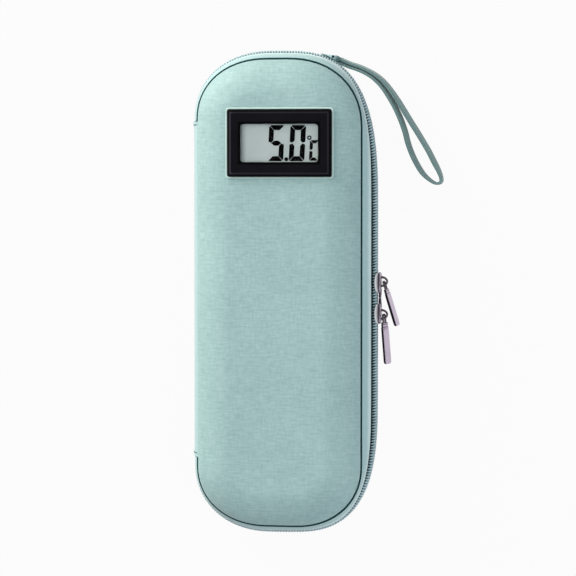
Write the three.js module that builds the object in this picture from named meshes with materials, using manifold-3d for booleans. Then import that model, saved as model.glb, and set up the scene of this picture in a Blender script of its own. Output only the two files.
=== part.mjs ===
// Insulin cooling case: a zipped, insulated shell with a thermometer in its lid.
// Millimetres, +Z up. The case lies on its back: +Z out of the front panel, +Y towards the strap end,
// +X towards the zip sliders. The origin is the middle of the flat back face.

import * as THREE from 'three';
import { mergeVertices } from 'three/addons/utils/BufferGeometryUtils.js';
import Module from 'manifold-3d';

const wasm = await Module();
wasm.setup();

// Case
const caseThickness = 40;
const zipLength = 205.8; // outer edge of the zip, end to end
const zipWidth = 79.1;
const zipSpineCorner = 31;
const zipCornerReach = 40; // the slider side's corners are longer than they are wide
const zipUpperRise = 66;
const zipLowerRise = 60;
const zipUpperPower = 2.8;
const zipLowerPower = 3;
const zipShift = 1.55; // the zip stands further out on the slider side than on the spine side
const panelLength = 197.8; // seam of the domed panels
const panelWidth = 70.4;
const panelCorner = 25;
const panelUpperCorner = 28; // on the slider side
const panelLowerCorner = 24.5;
const seamHeight = 11; // panel seam above or below the zip
const shoulderWidth = 15; // rounded edge of the panels
const spineLength = 140;

// Layers of each half
const coverThickness = 1;
const foamThickness = 3.4;
const liningThickness = 1;
const layerGap = 0.2;

// Side bands, spine and zip
const bandThickness = 1;
const bandBulge = 0.9;
const bandEdgeInset = 2.2; // the band stops short of the coil's outer edge
const coilDiameter = 2.4;
const coilGap = 1; // room for the slider posts between the two coils
const tapeThickness = 0.6;
const tapeEdgeGap = 1.4; // between the edges of the two tapes
const spineThickness = 1;
const spineFoldGap = 0.5;

// Sliders and pulls
const sliderLength = 8.8;
const sliderWidth = 6.4;
const sliderCorner = 2.9;
const sliderCoilGap = 0.35;
const sliderTapeGap = 0.6; // play behind the tapes, for the stretch where the zip begins to bend
const outerPlateThickness = 1.1;
const innerPlateThickness = 0.9;
const plateRounding = 0.7;
const noseLength = 1.6; // tongue towards the other slider
const noseWidth = 1.4;
const noseThickness = 0.9;
const postLength = 2;
const postThickness = 0.45;
const archWire = 0.8;
const archHoleLength = 3.2;
const archHoleHeight = 2;
const crownOffset = 0.4; // the crown stands off the slider's middle, away from the other slider
const upperSliderY = 4.3;
const lowerSliderY = -8.9;
const pullReach = 20.8; // from the pivot to the far end
const pullWidth = 4.2;
const pullThickness = 1.5;
const pullCorner = 1.1;
const eyeWidth = 2.7;
const eyeHoleWidth = 1.7;
const eyeHoleLength = 2.7;
const eyeThickness = 0.8;
const upperPullSwing = 17; // degrees away from the zip
const lowerPullSwing = 4.5;
const upperPullTurn = 76; // degrees that the face turns away from the front
const lowerPullTurn = 66;

// Wrist strap and its tab
const strapWidth = 5;
const strapThickness = 1.2;
const tabStartAngle = 14; // degrees round the zip's corner, from its top
const tabEndAngle = 25.3;
const tabThinEdge = 0.6; // the tab swells towards the strap
const tabThickEdge = 2.2;
const tabDepth = 3.4; // reach of the tab in under the coil
const tabDrop = 9.4; // tab's lower edge below the zip
const tabRise = 0.2;
const strapRoute = [
  [24.0, 99.4, 13.0], [28.2, 97.5, 12.3], [31.6, 96.4, 11.7], [34.8, 95.0, 11.2], [37.9, 93.3, 10.6],
  [40.9, 91.1, 10.0], [43.5, 88.3, 9.4], [45.8, 85.2, 8.9], [47.9, 82.1, 8.4], [49.7, 79.1, 7.9],
  [53.1, 73.4, 6.9], [56.9, 67.2, 5.9], [60.8, 60.5, 4.9], [63.2, 55.7, 4.1], [65.0, 52.1, 3.6],
  [66.2, 49.0, 3.2], [66.1, 46.9, 2.9], [64.2, 46.3, 3.2], [61.4, 47.8, 3.6], [58.0, 51.2, 4.2],
  [54.7, 57.1, 5.1], [52.4, 63.1, 6.0], [51.1, 68.3, 6.7], [49.4, 73.4, 7.5], [47.1, 78.6, 8.3],
  [44.6, 83.0, 9.0], [41.7, 87.4, 9.8], [38.1, 91.1, 10.5], [34.6, 93.4, 11.2], [31.0, 95.0, 11.8],
  [27.4, 96.2, 12.4], [23.4, 98.0, 13.0],
];

// Pen board and elastic bands in the back half
const boardWidth = 52;
const boardLength = 170;
const boardCorner = 16;
const boardThickness = 1.6;
const boardLift = 0.9; // the board's edges rest on the rising sides of the lining
const loopWidth = 18;
const loopHeight = 15.5;
const loopCount = 2;
const footWidth = 3.6;
const elasticThickness = 1.2;
const elasticWidth = 18;
const upperElasticY = 36;
const lowerElasticY = -44;

// Gel pack and its net pocket in the lid
const gelWidth = 44;
const gelLength = 100;
const gelThickness = 6.4;
const gelCorner = 9;
const gelEdge = 2.6;
const gelY = -30;
const netThickness = 0.6;
const hemWidth = 3;
const hemThickness = 1.6;

// Thermometer in the lid
const displayX = 1.8;
const displayY = 63.3;
const bezelWidth = 44;
const bezelLength = 28;
const bezelThickness = 1.6;
const bezelChamfer = 0.6;
const bezelCorner = 0.6;
const windowWidth = 33;
const windowLength = 16;
const windowCorner = 1.2;
const windowLip = 0.7;
const windowChamfer = 0.4;
const lensMargin = 1.5;
const lensThickness = 0.6;
const lcdThickness = 1.4;
const zebraLength = 30;
const zebraWidth = 2;
const zebraHeight = 1.8;
const circuitThickness = 1;
const chipDiameter = 5.5;
const chipHeight = 0.9;
const sensorDiameter = 2.4;
const sensorLength = 3.4;
const contactSize = 7;
const contactThickness = 0.4;
const cellDiameter = 11.6;
const cellThickness = 5.4;
const cellSpacing = 12.4;
const housingWidth = 39.4;
const housingLength = 23.4;
const housingWall = 1.2;
const housingCorner = 1.5;
const doorWidth = 30;
const doorLength = 18;
const doorThickness = 1;
const doorRail = 1.6;
const doorGrip = 0.5;
const rearLip = 0.8;

// Fits
const clearance = 0.3;
const moduleFit = 0.15;

const midZ = caseThickness / 2;
const shoulderHeight = midZ - seamHeight;
const wallDepth = coverThickness + layerGap + foamThickness + layerGap + liningThickness;
const zipOutline = {
  width: zipWidth,
  length: zipLength,
  shift: zipShift,
  corner: zipSpineCorner,
  upperReach: zipCornerReach,
  upperRise: zipUpperRise,
  upperPower: zipUpperPower,
  lowerReach: zipCornerReach,
  lowerRise: zipLowerRise,
  lowerPower: zipLowerPower,
};
const panelOutline = {
  width: panelWidth,
  length: panelLength,
  shift: 0,
  corner: panelCorner,
  upperReach: panelUpperCorner,
  upperRise: panelUpperCorner,
  upperPower: 2,
  lowerReach: panelLowerCorner,
  lowerRise: panelLowerCorner,
  lowerPower: 2,
};
const coilBase = coilGap / 2;
const bandEdgeHeight = coilBase + coilDiameter + clearance;
const sliderSideX = zipShift + zipWidth / 2;

const cornerSteps = 7;
const smallCornerSteps = 3;
const shoulderSteps = 5;

const mint = { color: 0x9ebcbb, roughness: 0.75, metalness: 0 };
const teal = { color: 0x7f9f9f, roughness: 0.7, metalness: 0 };
const coilGrey = { color: 0x90a4ac, roughness: 0.5, metalness: 0 };
const foamGrey = { color: 0x4c5252, roughness: 0.95, metalness: 0 };
const foilSilver = { color: 0xc9ced1, roughness: 0.35, metalness: 0.6 };
const nickel = { color: 0xb9abbc, roughness: 0.35, metalness: 1 };
const elasticGrey = { color: 0x394446, roughness: 0.85, metalness: 0 };
const boardGrey = { color: 0x8d9a9a, roughness: 0.85, metalness: 0 };
const gelBlue = { color: 0x9ec9de, roughness: 0.3, metalness: 0 };
const bezelBlack = { color: 0x17181c, roughness: 0.25, metalness: 0 };
const clear = { color: 0xe6eeee, roughness: 0.08, metalness: 0 };
const lcdGreen = { color: 0xa9b5b2, roughness: 0.3, metalness: 0 };
const circuitGreen = { color: 0x2f5d46, roughness: 0.5, metalness: 0 };
const rubberGrey = { color: 0x3c3c40, roughness: 0.9, metalness: 0 };
const cellSteel = { color: 0xc4c6c8, roughness: 0.25, metalness: 1 };
const contactBrass = { color: 0xc2a560, roughness: 0.35, metalness: 1 };

function degrees(angle) {
  return THREE.MathUtils.degToRad(angle);
}

// Outlines are rounded rectangles, walked clockwise from the left side's top. Those of the case may have
// their own corners on the right: reach along X, rise along Y, and a power above 2 for a squarer bend.
const growth = { width: 2, length: 2, corner: 1, upperReach: 1, upperRise: 1, lowerReach: 1, lowerRise: 1 };

function grow(outline, distance) {
  const change = ([key, value]) => [key, value + (growth[key] ?? 0) * distance];
  return Object.fromEntries(Object.entries(outline).map(change));
}

function mix(from, to, share) {
  const blend = (key) => [key, from[key] + (to[key] - from[key]) * share];
  return Object.fromEntries(Object.keys(from).map(blend));
}

function cornerPoint(outline, sideX, sideY, angle) {
  const { width, length, corner, shift = 0 } = outline;
  const upper = [outline.upperReach ?? corner, outline.upperRise ?? corner, outline.upperPower ?? 2];
  const lower = [outline.lowerReach ?? corner, outline.lowerRise ?? corner, outline.lowerPower ?? 2];
  const right = sideY > 0 ? upper : lower;
  const [reach, rise, power] = sideX > 0 ? right : [corner, corner, 2];
  const bend = (value) => Math.sign(value) * Math.abs(value) ** (2 / power);
  return new THREE.Vector2(
    shift + sideX * (width / 2 - reach) + reach * bend(Math.cos(angle)),
    sideY * (length / 2 - rise) + rise * bend(Math.sin(angle)),
  );
}

function roundedLoop(outline, steps = cornerSteps) {
  const points = [];
  const corners = [[-1, 1, 180], [1, 1, 90], [1, -1, 0], [-1, -1, -90]];
  for (const [sideX, sideY, startAngle] of corners) {
    for (let step = 0; step <= steps; step += 1) {
      points.push(cornerPoint(outline, sideX, sideY, degrees(startAngle - (90 * step) / steps)));
    }
  }
  return points;
}

// The zip leaves the spine at its top end and comes back to its lower end.
function zipPath(outline) {
  const left = outline.shift - outline.width / 2;
  const end = spineLength / 2 + clearance;
  return [new THREE.Vector2(left, end), ...roundedLoop(outline), new THREE.Vector2(left, -end)];
}

function atHeight(points, height) {
  return points.map((point) => new THREE.Vector3(point.x, point.y, height));
}

function solid(points, triangles) {
  const volume = triangles.reduce((sum, [a, b, c]) => {
    const normal = new THREE.Vector3().crossVectors(points[b], points[c]);
    return sum + points[a].dot(normal);
  }, 0);
  const facing = volume < 0 ? triangles.map(([a, b, c]) => [a, c, b]) : triangles;
  const geometry = new THREE.BufferGeometry();
  const places = points.flatMap((point) => point.toArray());
  geometry.setAttribute('position', new THREE.Float32BufferAttribute(places, 3));
  geometry.setIndex(facing.flat());
  return geometry;
}

function joinRings(first, second, count, closed) {
  const triangles = [];
  const spans = closed ? count : count - 1;
  for (let i = 0; i < spans; i += 1) {
    const next = (i + 1) % count;
    triangles.push([first + i, first + next, second + next], [first + i, second + next, second + i]);
  }
  return triangles;
}

function capRing(ring, start, reversed) {
  const contour = ring.map((point) => new THREE.Vector2(point.x, point.y));
  const ringTurn = Math.sign(THREE.ShapeUtils.area(contour));
  return THREE.ShapeUtils.triangulateShape(contour, []).map((face) => {
    const faceTurn = Math.sign(THREE.ShapeUtils.area(face.map((index) => contour[index])));
    const [a, b, c] = face.map((index) => start + index);
    return (faceTurn === ringTurn) !== reversed ? [a, b, c] : [a, c, b];
  });
}

// Closed rings joined in turn, with the first and last ring capped.
function stack(rings) {
  const count = rings[0].length;
  const triangles = capRing(rings[0], 0, true);
  for (let k = 0; k < rings.length - 1; k += 1) {
    triangles.push(...joinRings(k * count, (k + 1) * count, count, true));
  }
  triangles.push(...capRing(rings.at(-1), (rings.length - 1) * count, false));
  return solid(rings.flat(), triangles);
}

// A closed section carried once round a closed outline.
function frame(rings) {
  const count = rings[0].length;
  const triangles = rings.flatMap((ring, k) => (
    joinRings(k * count, ((k + 1) % rings.length) * count, count, true)
  ));
  return solid(rings.flat(), triangles);
}

// A closed section carried along an open path. The section's second half runs back beside its first.
function strip(rings) {
  const count = rings[0].length;
  const sides = rings.length;
  const triangles = rings.flatMap((ring, k) => joinRings(k * count, ((k + 1) % sides) * count, count, false));
  const end = count - 1;
  for (let k = 0; k < sides / 2 - 1; k += 1) {
    const [a, b, c, d] = [k, k + 1, sides - 2 - k, sides - 1 - k].map((line) => line * count);
    triangles.push([a, b, c], [a, c, d]);
    triangles.push([b + end, a + end, c + end], [c + end, a + end, d + end]);
  }
  return solid(rings.flat(), triangles);
}

function toManifold(geometry) {
  const bare = geometry.clone();
  bare.deleteAttribute('normal');
  bare.deleteAttribute('uv');
  const merged = mergeVertices(bare, 1e-4);
  return new wasm.Manifold(new wasm.Mesh({
    numProp: 3,
    vertProperties: new Float32Array(merged.attributes.position.array),
    triVerts: new Uint32Array(merged.index.array),
  }));
}

function toGeometry(manifold) {
  const mesh = manifold.getMesh();
  const geometry = new THREE.BufferGeometry();
  geometry.setAttribute('position', new THREE.BufferAttribute(mesh.vertProperties, 3));
  geometry.setIndex(new THREE.BufferAttribute(mesh.triVerts, 1));
  return geometry;
}

function union(...geometries) {
  return toGeometry(geometries.map(toManifold).reduce((sum, piece) => sum.add(piece)));
}

function subtract(geometry, ...cuts) {
  return toGeometry(cuts.map(toManifold).reduce((rest, cut) => rest.subtract(cut), toManifold(geometry)));
}

function box(x0, x1, y0, y1, z0, z1) {
  const geometry = new THREE.BoxGeometry(x1 - x0, y1 - y0, z1 - z0);
  return geometry.translate((x0 + x1) / 2, (y0 + y1) / 2, (z0 + z1) / 2);
}

function slab(width, length, corner, z0, z1) {
  const loop = roundedLoop({ width, length, corner }, smallCornerSteps);
  return stack([atHeight(loop, z0), atHeight(loop, z1)]);
}

function addPiece(parent, name, geometry, finish) {
  const piece = new THREE.Mesh(geometry, new THREE.MeshStandardMaterial(finish));
  piece.name = name;
  parent.add(piece);
  return piece;
}

// Panels

// One skin of a panel, some depth under its outside, from the seam to the flat crown.
function domeRings(depth, side) {
  const rings = [];
  for (let step = 0; step <= shoulderSteps; step += 1) {
    const angle = degrees((90 * step) / shoulderSteps);
    const inset = shoulderWidth - (shoulderWidth - depth) * Math.cos(angle);
    const rise = (shoulderHeight - depth) * Math.sin(angle);
    rings.push(atHeight(roundedLoop(grow(panelOutline, -inset)), midZ + side * (seamHeight + rise)));
  }
  return rings;
}

function panelLayer(outerDepth, thickness, side) {
  return stack([...domeRings(outerDepth + thickness, side).reverse(), ...domeRings(outerDepth, side)]);
}

const foamDepth = coverThickness + layerGap;
const liningDepth = foamDepth + foamThickness + layerGap;
const liningCrown = wallDepth; // height of the back lining's flat floor

function displayCutOut() {
  const halfWidth = housingWidth / 2 + clearance;
  const halfLength = housingLength / 2 + clearance;
  return box(displayX - halfWidth, displayX + halfWidth, displayY - halfLength, displayY + halfLength,
    midZ + seamHeight, caseThickness + coverThickness);
}

// Side bands and zip

const bandTop = seamHeight - clearance;
const bandEdge = grow(zipOutline, -bandEdgeInset);

function bandLine(share, depth, side) {
  const bulge = bandBulge * Math.sin(Math.PI * share);
  const height = bandTop + (bandEdgeHeight - bandTop) * share;
  return atHeight(zipPath(grow(mix(panelOutline, bandEdge, share), bulge - depth)), midZ + side * height);
}

function sideBand(side) {
  const shares = [0, 0.25, 0.5, 0.75, 1];
  const outside = shares.map((share) => bandLine(share, 0, side));
  const inside = shares.map((share) => bandLine(share, bandThickness, side));
  return strip([...outside, ...inside.reverse()]);
}

function zipTape(side) {
  const faceLines = (depth) => [
    ...[0.5, 0.75, 1].map((share) => bandLine(share, depth, side)),
    atHeight(zipPath(grow(bandEdge, -depth)), midZ + (side * tapeEdgeGap) / 2),
  ];
  const outerFace = bandThickness + clearance;
  return strip([...faceLines(outerFace), ...faceLines(outerFace + tapeThickness).reverse()]);
}

function zipCoil(side) {
  const sides = 8;
  const radius = coilDiameter / 2;
  const lines = [];
  for (let k = 0; k < sides; k += 1) {
    const angle = degrees((360 * k) / sides);
    const height = coilBase + radius + radius * Math.cos(angle);
    const path = zipPath(grow(zipOutline, -radius + radius * Math.sin(angle)));
    lines.push(atHeight(path, midZ + side * height));
  }
  return strip(lines);
}

// Half of the fabric hinge: it runs from the panel's seam to the fold.
function spineLeaf(side) {
  const seamX = -panelWidth / 2;
  const foldX = zipShift - zipWidth / 2;
  const section = [
    [seamX, bandTop],
    [foldX, spineFoldGap / 2],
    [foldX + spineThickness, spineFoldGap / 2],
    [seamX + spineThickness, bandTop],
  ];
  return strip(section.map(([x, height]) => [-1, 1].map((end) => (
    new THREE.Vector3(x, (end * spineLength) / 2, midZ + side * height)
  ))));
}

// Sliders and pulls, built with +X away from the zip

function sliderPlate(start, thickness, rounding) {
  const outline = { width: sliderWidth, length: sliderLength, corner: sliderCorner, shift: 0 };
  const loop = (inset) => roundedLoop(grow(outline, -inset), smallCornerSteps);
  const rings = [
    atHeight(loop(0), start),
    atHeight(loop(0), start + thickness - rounding),
    atHeight(loop(rounding), start + thickness),
  ];
  return stack(rings).rotateY(Math.PI / 2);
}

const outerPlateStart = sliderCoilGap;
const outerPlateTop = outerPlateStart + outerPlateThickness;
const tapeDepth = bandEdgeInset + bandThickness + clearance + tapeThickness;
const innerPlateStart = -tapeDepth - sliderTapeGap - innerPlateThickness;
const pivotReach = outerPlateTop + archHoleHeight / 2;

function crownArch() {
  const halfSpan = (archHoleLength + archWire) / 2;
  const height = archHoleHeight + archWire / 2;
  const points = [];
  const sunk = archWire / 2; // the feet run into the plate
  const place = (reach, along) => points.push(new THREE.Vector3(reach, crownOffset + along, 0));
  place(outerPlateTop - sunk, -halfSpan);
  for (let step = 0; step <= 10; step += 1) {
    const angle = (Math.PI * step) / 10;
    place(outerPlateTop + height * Math.sin(angle), -halfSpan * Math.cos(angle));
  }
  place(outerPlateTop - sunk, halfSpan);
  const wire = new THREE.Shape().absarc(0, 0, archWire / 2, 0, 2 * Math.PI, false);
  return new THREE.ExtrudeGeometry(wire, {
    extrudePath: new THREE.CatmullRomCurve3(points),
    steps: 16,
    curveSegments: 4,
    bevelEnabled: false,
  });
}

// The post stands at the end that faces the other slider, where the zip is open.
function sliderBody() {
  const postEnd = -sliderLength / 2 + plateRounding;
  const post = box(innerPlateStart + innerPlateThickness / 2, outerPlateStart + outerPlateThickness / 2,
    postEnd, postEnd + postLength, -postThickness / 2, postThickness / 2);
  const noseEnd = -sliderLength / 2 - noseLength;
  const nose = box(outerPlateStart, outerPlateStart + noseThickness, noseEnd, postEnd,
    -noseWidth / 2, noseWidth / 2);
  return union(
    sliderPlate(outerPlateStart, outerPlateThickness, plateRounding),
    sliderPlate(innerPlateStart, innerPlateThickness, innerPlateThickness / 3),
    post,
    nose,
    crownArch(),
  );
}

function pullPlate() {
  const eyeEnd = eyeThickness / 2;
  const holeStart = -eyeThickness / 2;
  const holeEnd = holeStart - eyeHoleLength;
  const plateStart = holeEnd - eyeThickness;
  const eyeTail = plateStart - pullCorner;
  const eyeOutside = slab(eyeWidth, eyeEnd - eyeTail, eyeThickness / 2, -eyeThickness / 2, eyeThickness / 2)
    .translate(0, (eyeEnd + eyeTail) / 2, 0);
  const hole = slab(eyeHoleWidth, eyeHoleLength, eyeThickness / 2, -eyeThickness, eyeThickness)
    .translate(0, (holeStart + holeEnd) / 2, 0);
  const plateLength = pullReach + plateStart;
  const outline = { width: pullWidth, length: plateLength, corner: pullCorner, shift: 0 };
  const bevel = pullThickness / 5;
  const loop = (inset) => roundedLoop(grow(outline, -inset), smallCornerSteps);
  const body = stack([
    atHeight(loop(bevel), -pullThickness / 2),
    atHeight(loop(0), -pullThickness / 2 + bevel),
    atHeight(loop(0), pullThickness / 2 - bevel),
    atHeight(loop(bevel), pullThickness / 2),
  ]).translate(0, plateStart - plateLength / 2, 0);
  return union(subtract(eyeOutside, hole), body);
}

// facing is 1 for the slider above the open stretch of zip and -1 for the one below it.
function addSlider(parent, name, centreY, facing, swing, turn) {
  const carriage = new THREE.Group();
  carriage.position.set(sliderSideX, centreY, midZ);
  const body = addPiece(carriage, `${name}_slider`, sliderBody(), nickel);
  body.rotation.x = facing > 0 ? 0 : Math.PI;
  const pull = addPiece(carriage, `${name}_pull`, pullPlate(), nickel);
  pull.position.set(pivotReach, facing * crownOffset, 0);
  pull.rotation.set(0, degrees(turn), degrees(swing), 'ZYX');
  parent.add(carriage);
}

// Wrist strap

function strapBand() {
  const route = strapRoute.map((point) => new THREE.Vector3(...point));
  const across = route.map((point, i) => {
    const before = route[Math.max(i - 1, 0)];
    const after = route[Math.min(i + 1, route.length - 1)];
    const along = new THREE.Vector3().subVectors(after, before).setZ(0).normalize();
    return new THREE.Vector3(-along.y, along.x, 0);
  });
  const edges = [[-1, -1], [1, -1], [1, 1], [-1, 1]];
  return strip(edges.map(([face, edge]) => route.map((point, i) => {
    const height = point.z + (edge * strapWidth) / 2;
    return point.clone().addScaledVector(across[i], (face * strapThickness) / 2).setZ(height);
  })));
}

function strapTab() {
  const stations = 6;
  const line = (offsetAt, height) => Array.from({ length: stations }, (unused, i) => {
    const share = i / (stations - 1);
    const angle = degrees(90 - tabStartAngle - (tabEndAngle - tabStartAngle) * share);
    const point = cornerPoint(grow(zipOutline, offsetAt(share)), 1, 1, angle);
    return new THREE.Vector3(point.x, point.y, height);
  });
  const outside = (share) => tabThinEdge + (tabThickEdge - tabThinEdge) * share * share;
  const besideCoil = () => clearance;
  const underCoil = (share) => outside(share) - tabDepth * share - tabThinEdge * (1 - share);
  const shelf = midZ - coilBase - coilDiameter - clearance;
  return strip([
    line(underCoil, midZ - tabDrop),
    line(outside, midZ - tabDrop),
    line(outside, midZ + tabRise),
    line(besideCoil, midZ + tabRise),
    line(besideCoil, shelf),
    line(underCoil, shelf),
  ]);
}

// Pen board and elastic bands

const boardBase = liningCrown + boardLift;
const boardTop = boardBase + boardThickness;

function penBoard() {
  return slab(boardWidth, boardLength, boardCorner, boardBase, boardTop);
}

// A strip of elastic, sewn down between its loops. Each loop is an arch on two straight legs.
function elasticBand(centreY) {
  const pitch = loopWidth + footWidth;
  const archSteps = 8;
  const side = (thickness, footHeight) => {
    const radius = loopWidth / 2 + thickness;
    const spring = loopHeight - loopWidth / 2;
    const points = [];
    const reach = (loopCount * pitch + footWidth) / 2;
    points.push([-reach, footHeight]);
    for (let k = 0; k < loopCount; k += 1) {
      const centre = (k - (loopCount - 1) / 2) * pitch;
      points.push([centre - radius, footHeight]);
      for (let step = 0; step <= archSteps; step += 1) {
        const angle = Math.PI * (1 - step / archSteps);
        points.push([centre + radius * Math.cos(angle), spring + radius * Math.sin(angle)]);
      }
      points.push([centre + radius, footHeight]);
    }
    points.push([reach, footHeight]);
    return points;
  };
  const section = [...side(elasticThickness, elasticThickness), ...side(0, 0).reverse()];
  return strip(section.map(([x, height]) => [-1, 1].map((end) => (
    new THREE.Vector3(x, centreY + (end * elasticWidth) / 2, boardTop + clearance + height)
  ))));
}

// Gel pack and net pocket

const gelTop = caseThickness - wallDepth - clearance;
const gelBase = gelTop - gelThickness;
const gelOutline = { width: gelWidth, length: gelLength, corner: gelCorner, shift: 0 };

function gelPack() {
  const ring = (inset, height) => atHeight(roundedLoop(grow(gelOutline, -inset)), height);
  const shoulder = gelEdge / 4;
  return stack([
    ring(gelEdge, gelBase),
    ring(shoulder, gelBase + shoulder),
    ring(0, (gelBase + gelTop) / 2),
    ring(shoulder, gelTop - shoulder),
    ring(gelEdge, gelTop),
  ]).translate(0, gelY, 0);
}

// The net goes under the pack and up its sides and lower end. Its upper end is the pocket's mouth.
function netPocket() {
  const inner = grow(gelOutline, clearance);
  const tub = (outline, base, top) => stack([
    atHeight(roundedLoop(outline), base),
    atHeight(roundedLoop(outline), top),
  ]).translate(0, gelY, 0);
  const rim = (gelBase + gelTop) / 2;
  const base = gelBase - clearance;
  const mouthY = gelY + gelLength / 2 - gelCorner;
  const outer = grow(inner, netThickness);
  return subtract(
    tub(outer, base - netThickness, rim),
    tub(inner, base, rim + gelThickness),
    box(-outer.width, outer.width, mouthY, mouthY + outer.length, base - gelThickness, gelTop),
  );
}

function pocketHem() {
  const mouthY = gelY + gelLength / 2 - gelCorner;
  const top = gelBase - clearance;
  const reach = gelWidth / 2 + clearance + netThickness;
  return slab(2 * reach, hemWidth, hemThickness / 2, top - hemThickness, top)
    .translate(0, mouthY + clearance + hemWidth / 2, 0);
}

// Thermometer, built with its own zero on the front panel's outside, +Z outwards

const lensSize = { width: windowWidth + 2 * lensMargin, length: windowLength + 2 * lensMargin };
const bezelBase = clearance;
const bezelTop = bezelBase + bezelThickness;
const lensTop = bezelTop - windowLip - moduleFit;
const lensBase = lensTop - lensThickness;
const lcdTop = lensBase - moduleFit;
const lcdBase = lcdTop - lcdThickness;
const zebraTop = lcdBase - moduleFit;
const zebraBase = zebraTop - zebraHeight;
const circuitTop = zebraBase - moduleFit;
const circuitBase = circuitTop - circuitThickness;
const contactTop = circuitBase - moduleFit;
const contactBase = contactTop - contactThickness;
const cellTop = contactBase - moduleFit;
const cellBase = cellTop - cellThickness;
const linkTop = cellBase - moduleFit;
const linkBase = linkTop - contactThickness;
const doorTop = linkBase - moduleFit;
const doorBase = doorTop - doorThickness;
const housingTop = bezelBase - moduleFit;
const housingBase = doorBase - moduleFit - rearLip;
const housingInnerWidth = housingWidth - 2 * housingWall;
const housingInnerLength = housingLength - 2 * housingWall;

function displayBezel() {
  const ring = (width, length, corner, height) => (
    atHeight(roundedLoop({ width, length, corner }, smallCornerSteps), height)
  );
  const rebateWidth = lensSize.width + 2 * moduleFit;
  const rebateLength = lensSize.length + 2 * moduleFit;
  const cut = 2 * bezelChamfer;
  const flare = 2 * windowChamfer;
  const lipBase = bezelTop - windowLip;
  return frame([
    ring(bezelWidth, bezelLength, bezelCorner, bezelBase),
    ring(bezelWidth, bezelLength, bezelCorner, bezelTop - bezelChamfer),
    ring(bezelWidth - cut, bezelLength - cut, bezelCorner / 2, bezelTop),
    ring(windowWidth + flare, windowLength + flare, windowCorner + windowChamfer, bezelTop),
    ring(windowWidth, windowLength, windowCorner, bezelTop - windowChamfer),
    ring(windowWidth, windowLength, windowCorner, lipBase),
    ring(rebateWidth, rebateLength, windowCorner, lipBase),
    ring(rebateWidth, rebateLength, windowCorner, bezelBase),
  ]);
}

// The battery door slides in from the lower side, in a slot that the rear lips keep closed.
function moduleHousing() {
  const cavity = slab(housingInnerWidth, housingInnerLength, housingCorner, linkTop, housingTop + clearance);
  const slotHalf = doorWidth / 2 + moduleFit;
  const openHalf = doorWidth / 2 - doorRail + moduleFit;
  const outside = -housingLength / 2 - clearance;
  const slotEnd = -housingLength / 2 + doorLength + moduleFit;
  const slot = box(-slotHalf, slotHalf, outside, slotEnd, doorBase - moduleFit, doorTop + moduleFit);
  const cellWay = box(-openHalf, openHalf, outside, slotEnd, doorTop, linkTop + moduleFit);
  const rearWay = box(-openHalf, openHalf, outside, slotEnd, housingBase - clearance, doorBase);
  const shell = slab(housingWidth, housingLength, housingCorner, housingBase, housingTop);
  return subtract(shell, cavity, slot, cellWay, rearWay);
}

function batteryDoor() {
  const width = doorWidth - 2 * doorRail;
  const plate = slab(doorWidth, doorLength, moduleFit, doorBase, doorTop);
  const grip = slab(width, doorLength, moduleFit, doorBase - doorGrip, doorBase + doorThickness / 2);
  return union(plate, grip).translate(0, (doorLength - housingLength) / 2, 0);
}

function buttonCell() {
  const radius = cellDiameter / 2;
  const rim = contactThickness;
  const profile = [[0, cellBase], [radius - rim, cellBase], [radius, cellBase + rim], [radius, cellTop - rim],
    [radius - 2 * rim, cellTop - rim], [radius - 3 * rim, cellTop], [0, cellTop]];
  const lathe = new THREE.LatheGeometry(profile.map(([r, z]) => new THREE.Vector2(r, z)), 20);
  return lathe.rotateX(Math.PI / 2);
}

function domedDrop(diameter, height, top) {
  const radius = diameter / 2;
  const profile = [new THREE.Vector2(0, -height)];
  const steps = 4;
  for (let step = 1; step <= steps; step += 1) {
    const angle = (Math.PI / 2) * (step / steps);
    const rise = Math.min(height, radius) * (1 - Math.cos(angle));
    profile.push(new THREE.Vector2(radius * Math.sin(angle), rise - height));
  }
  if (height > radius) {
    profile.push(new THREE.Vector2(radius, 0));
  }
  profile.push(new THREE.Vector2(0, 0));
  return new THREE.LatheGeometry(profile, 12).rotateX(Math.PI / 2).translate(0, 0, top);
}

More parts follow.
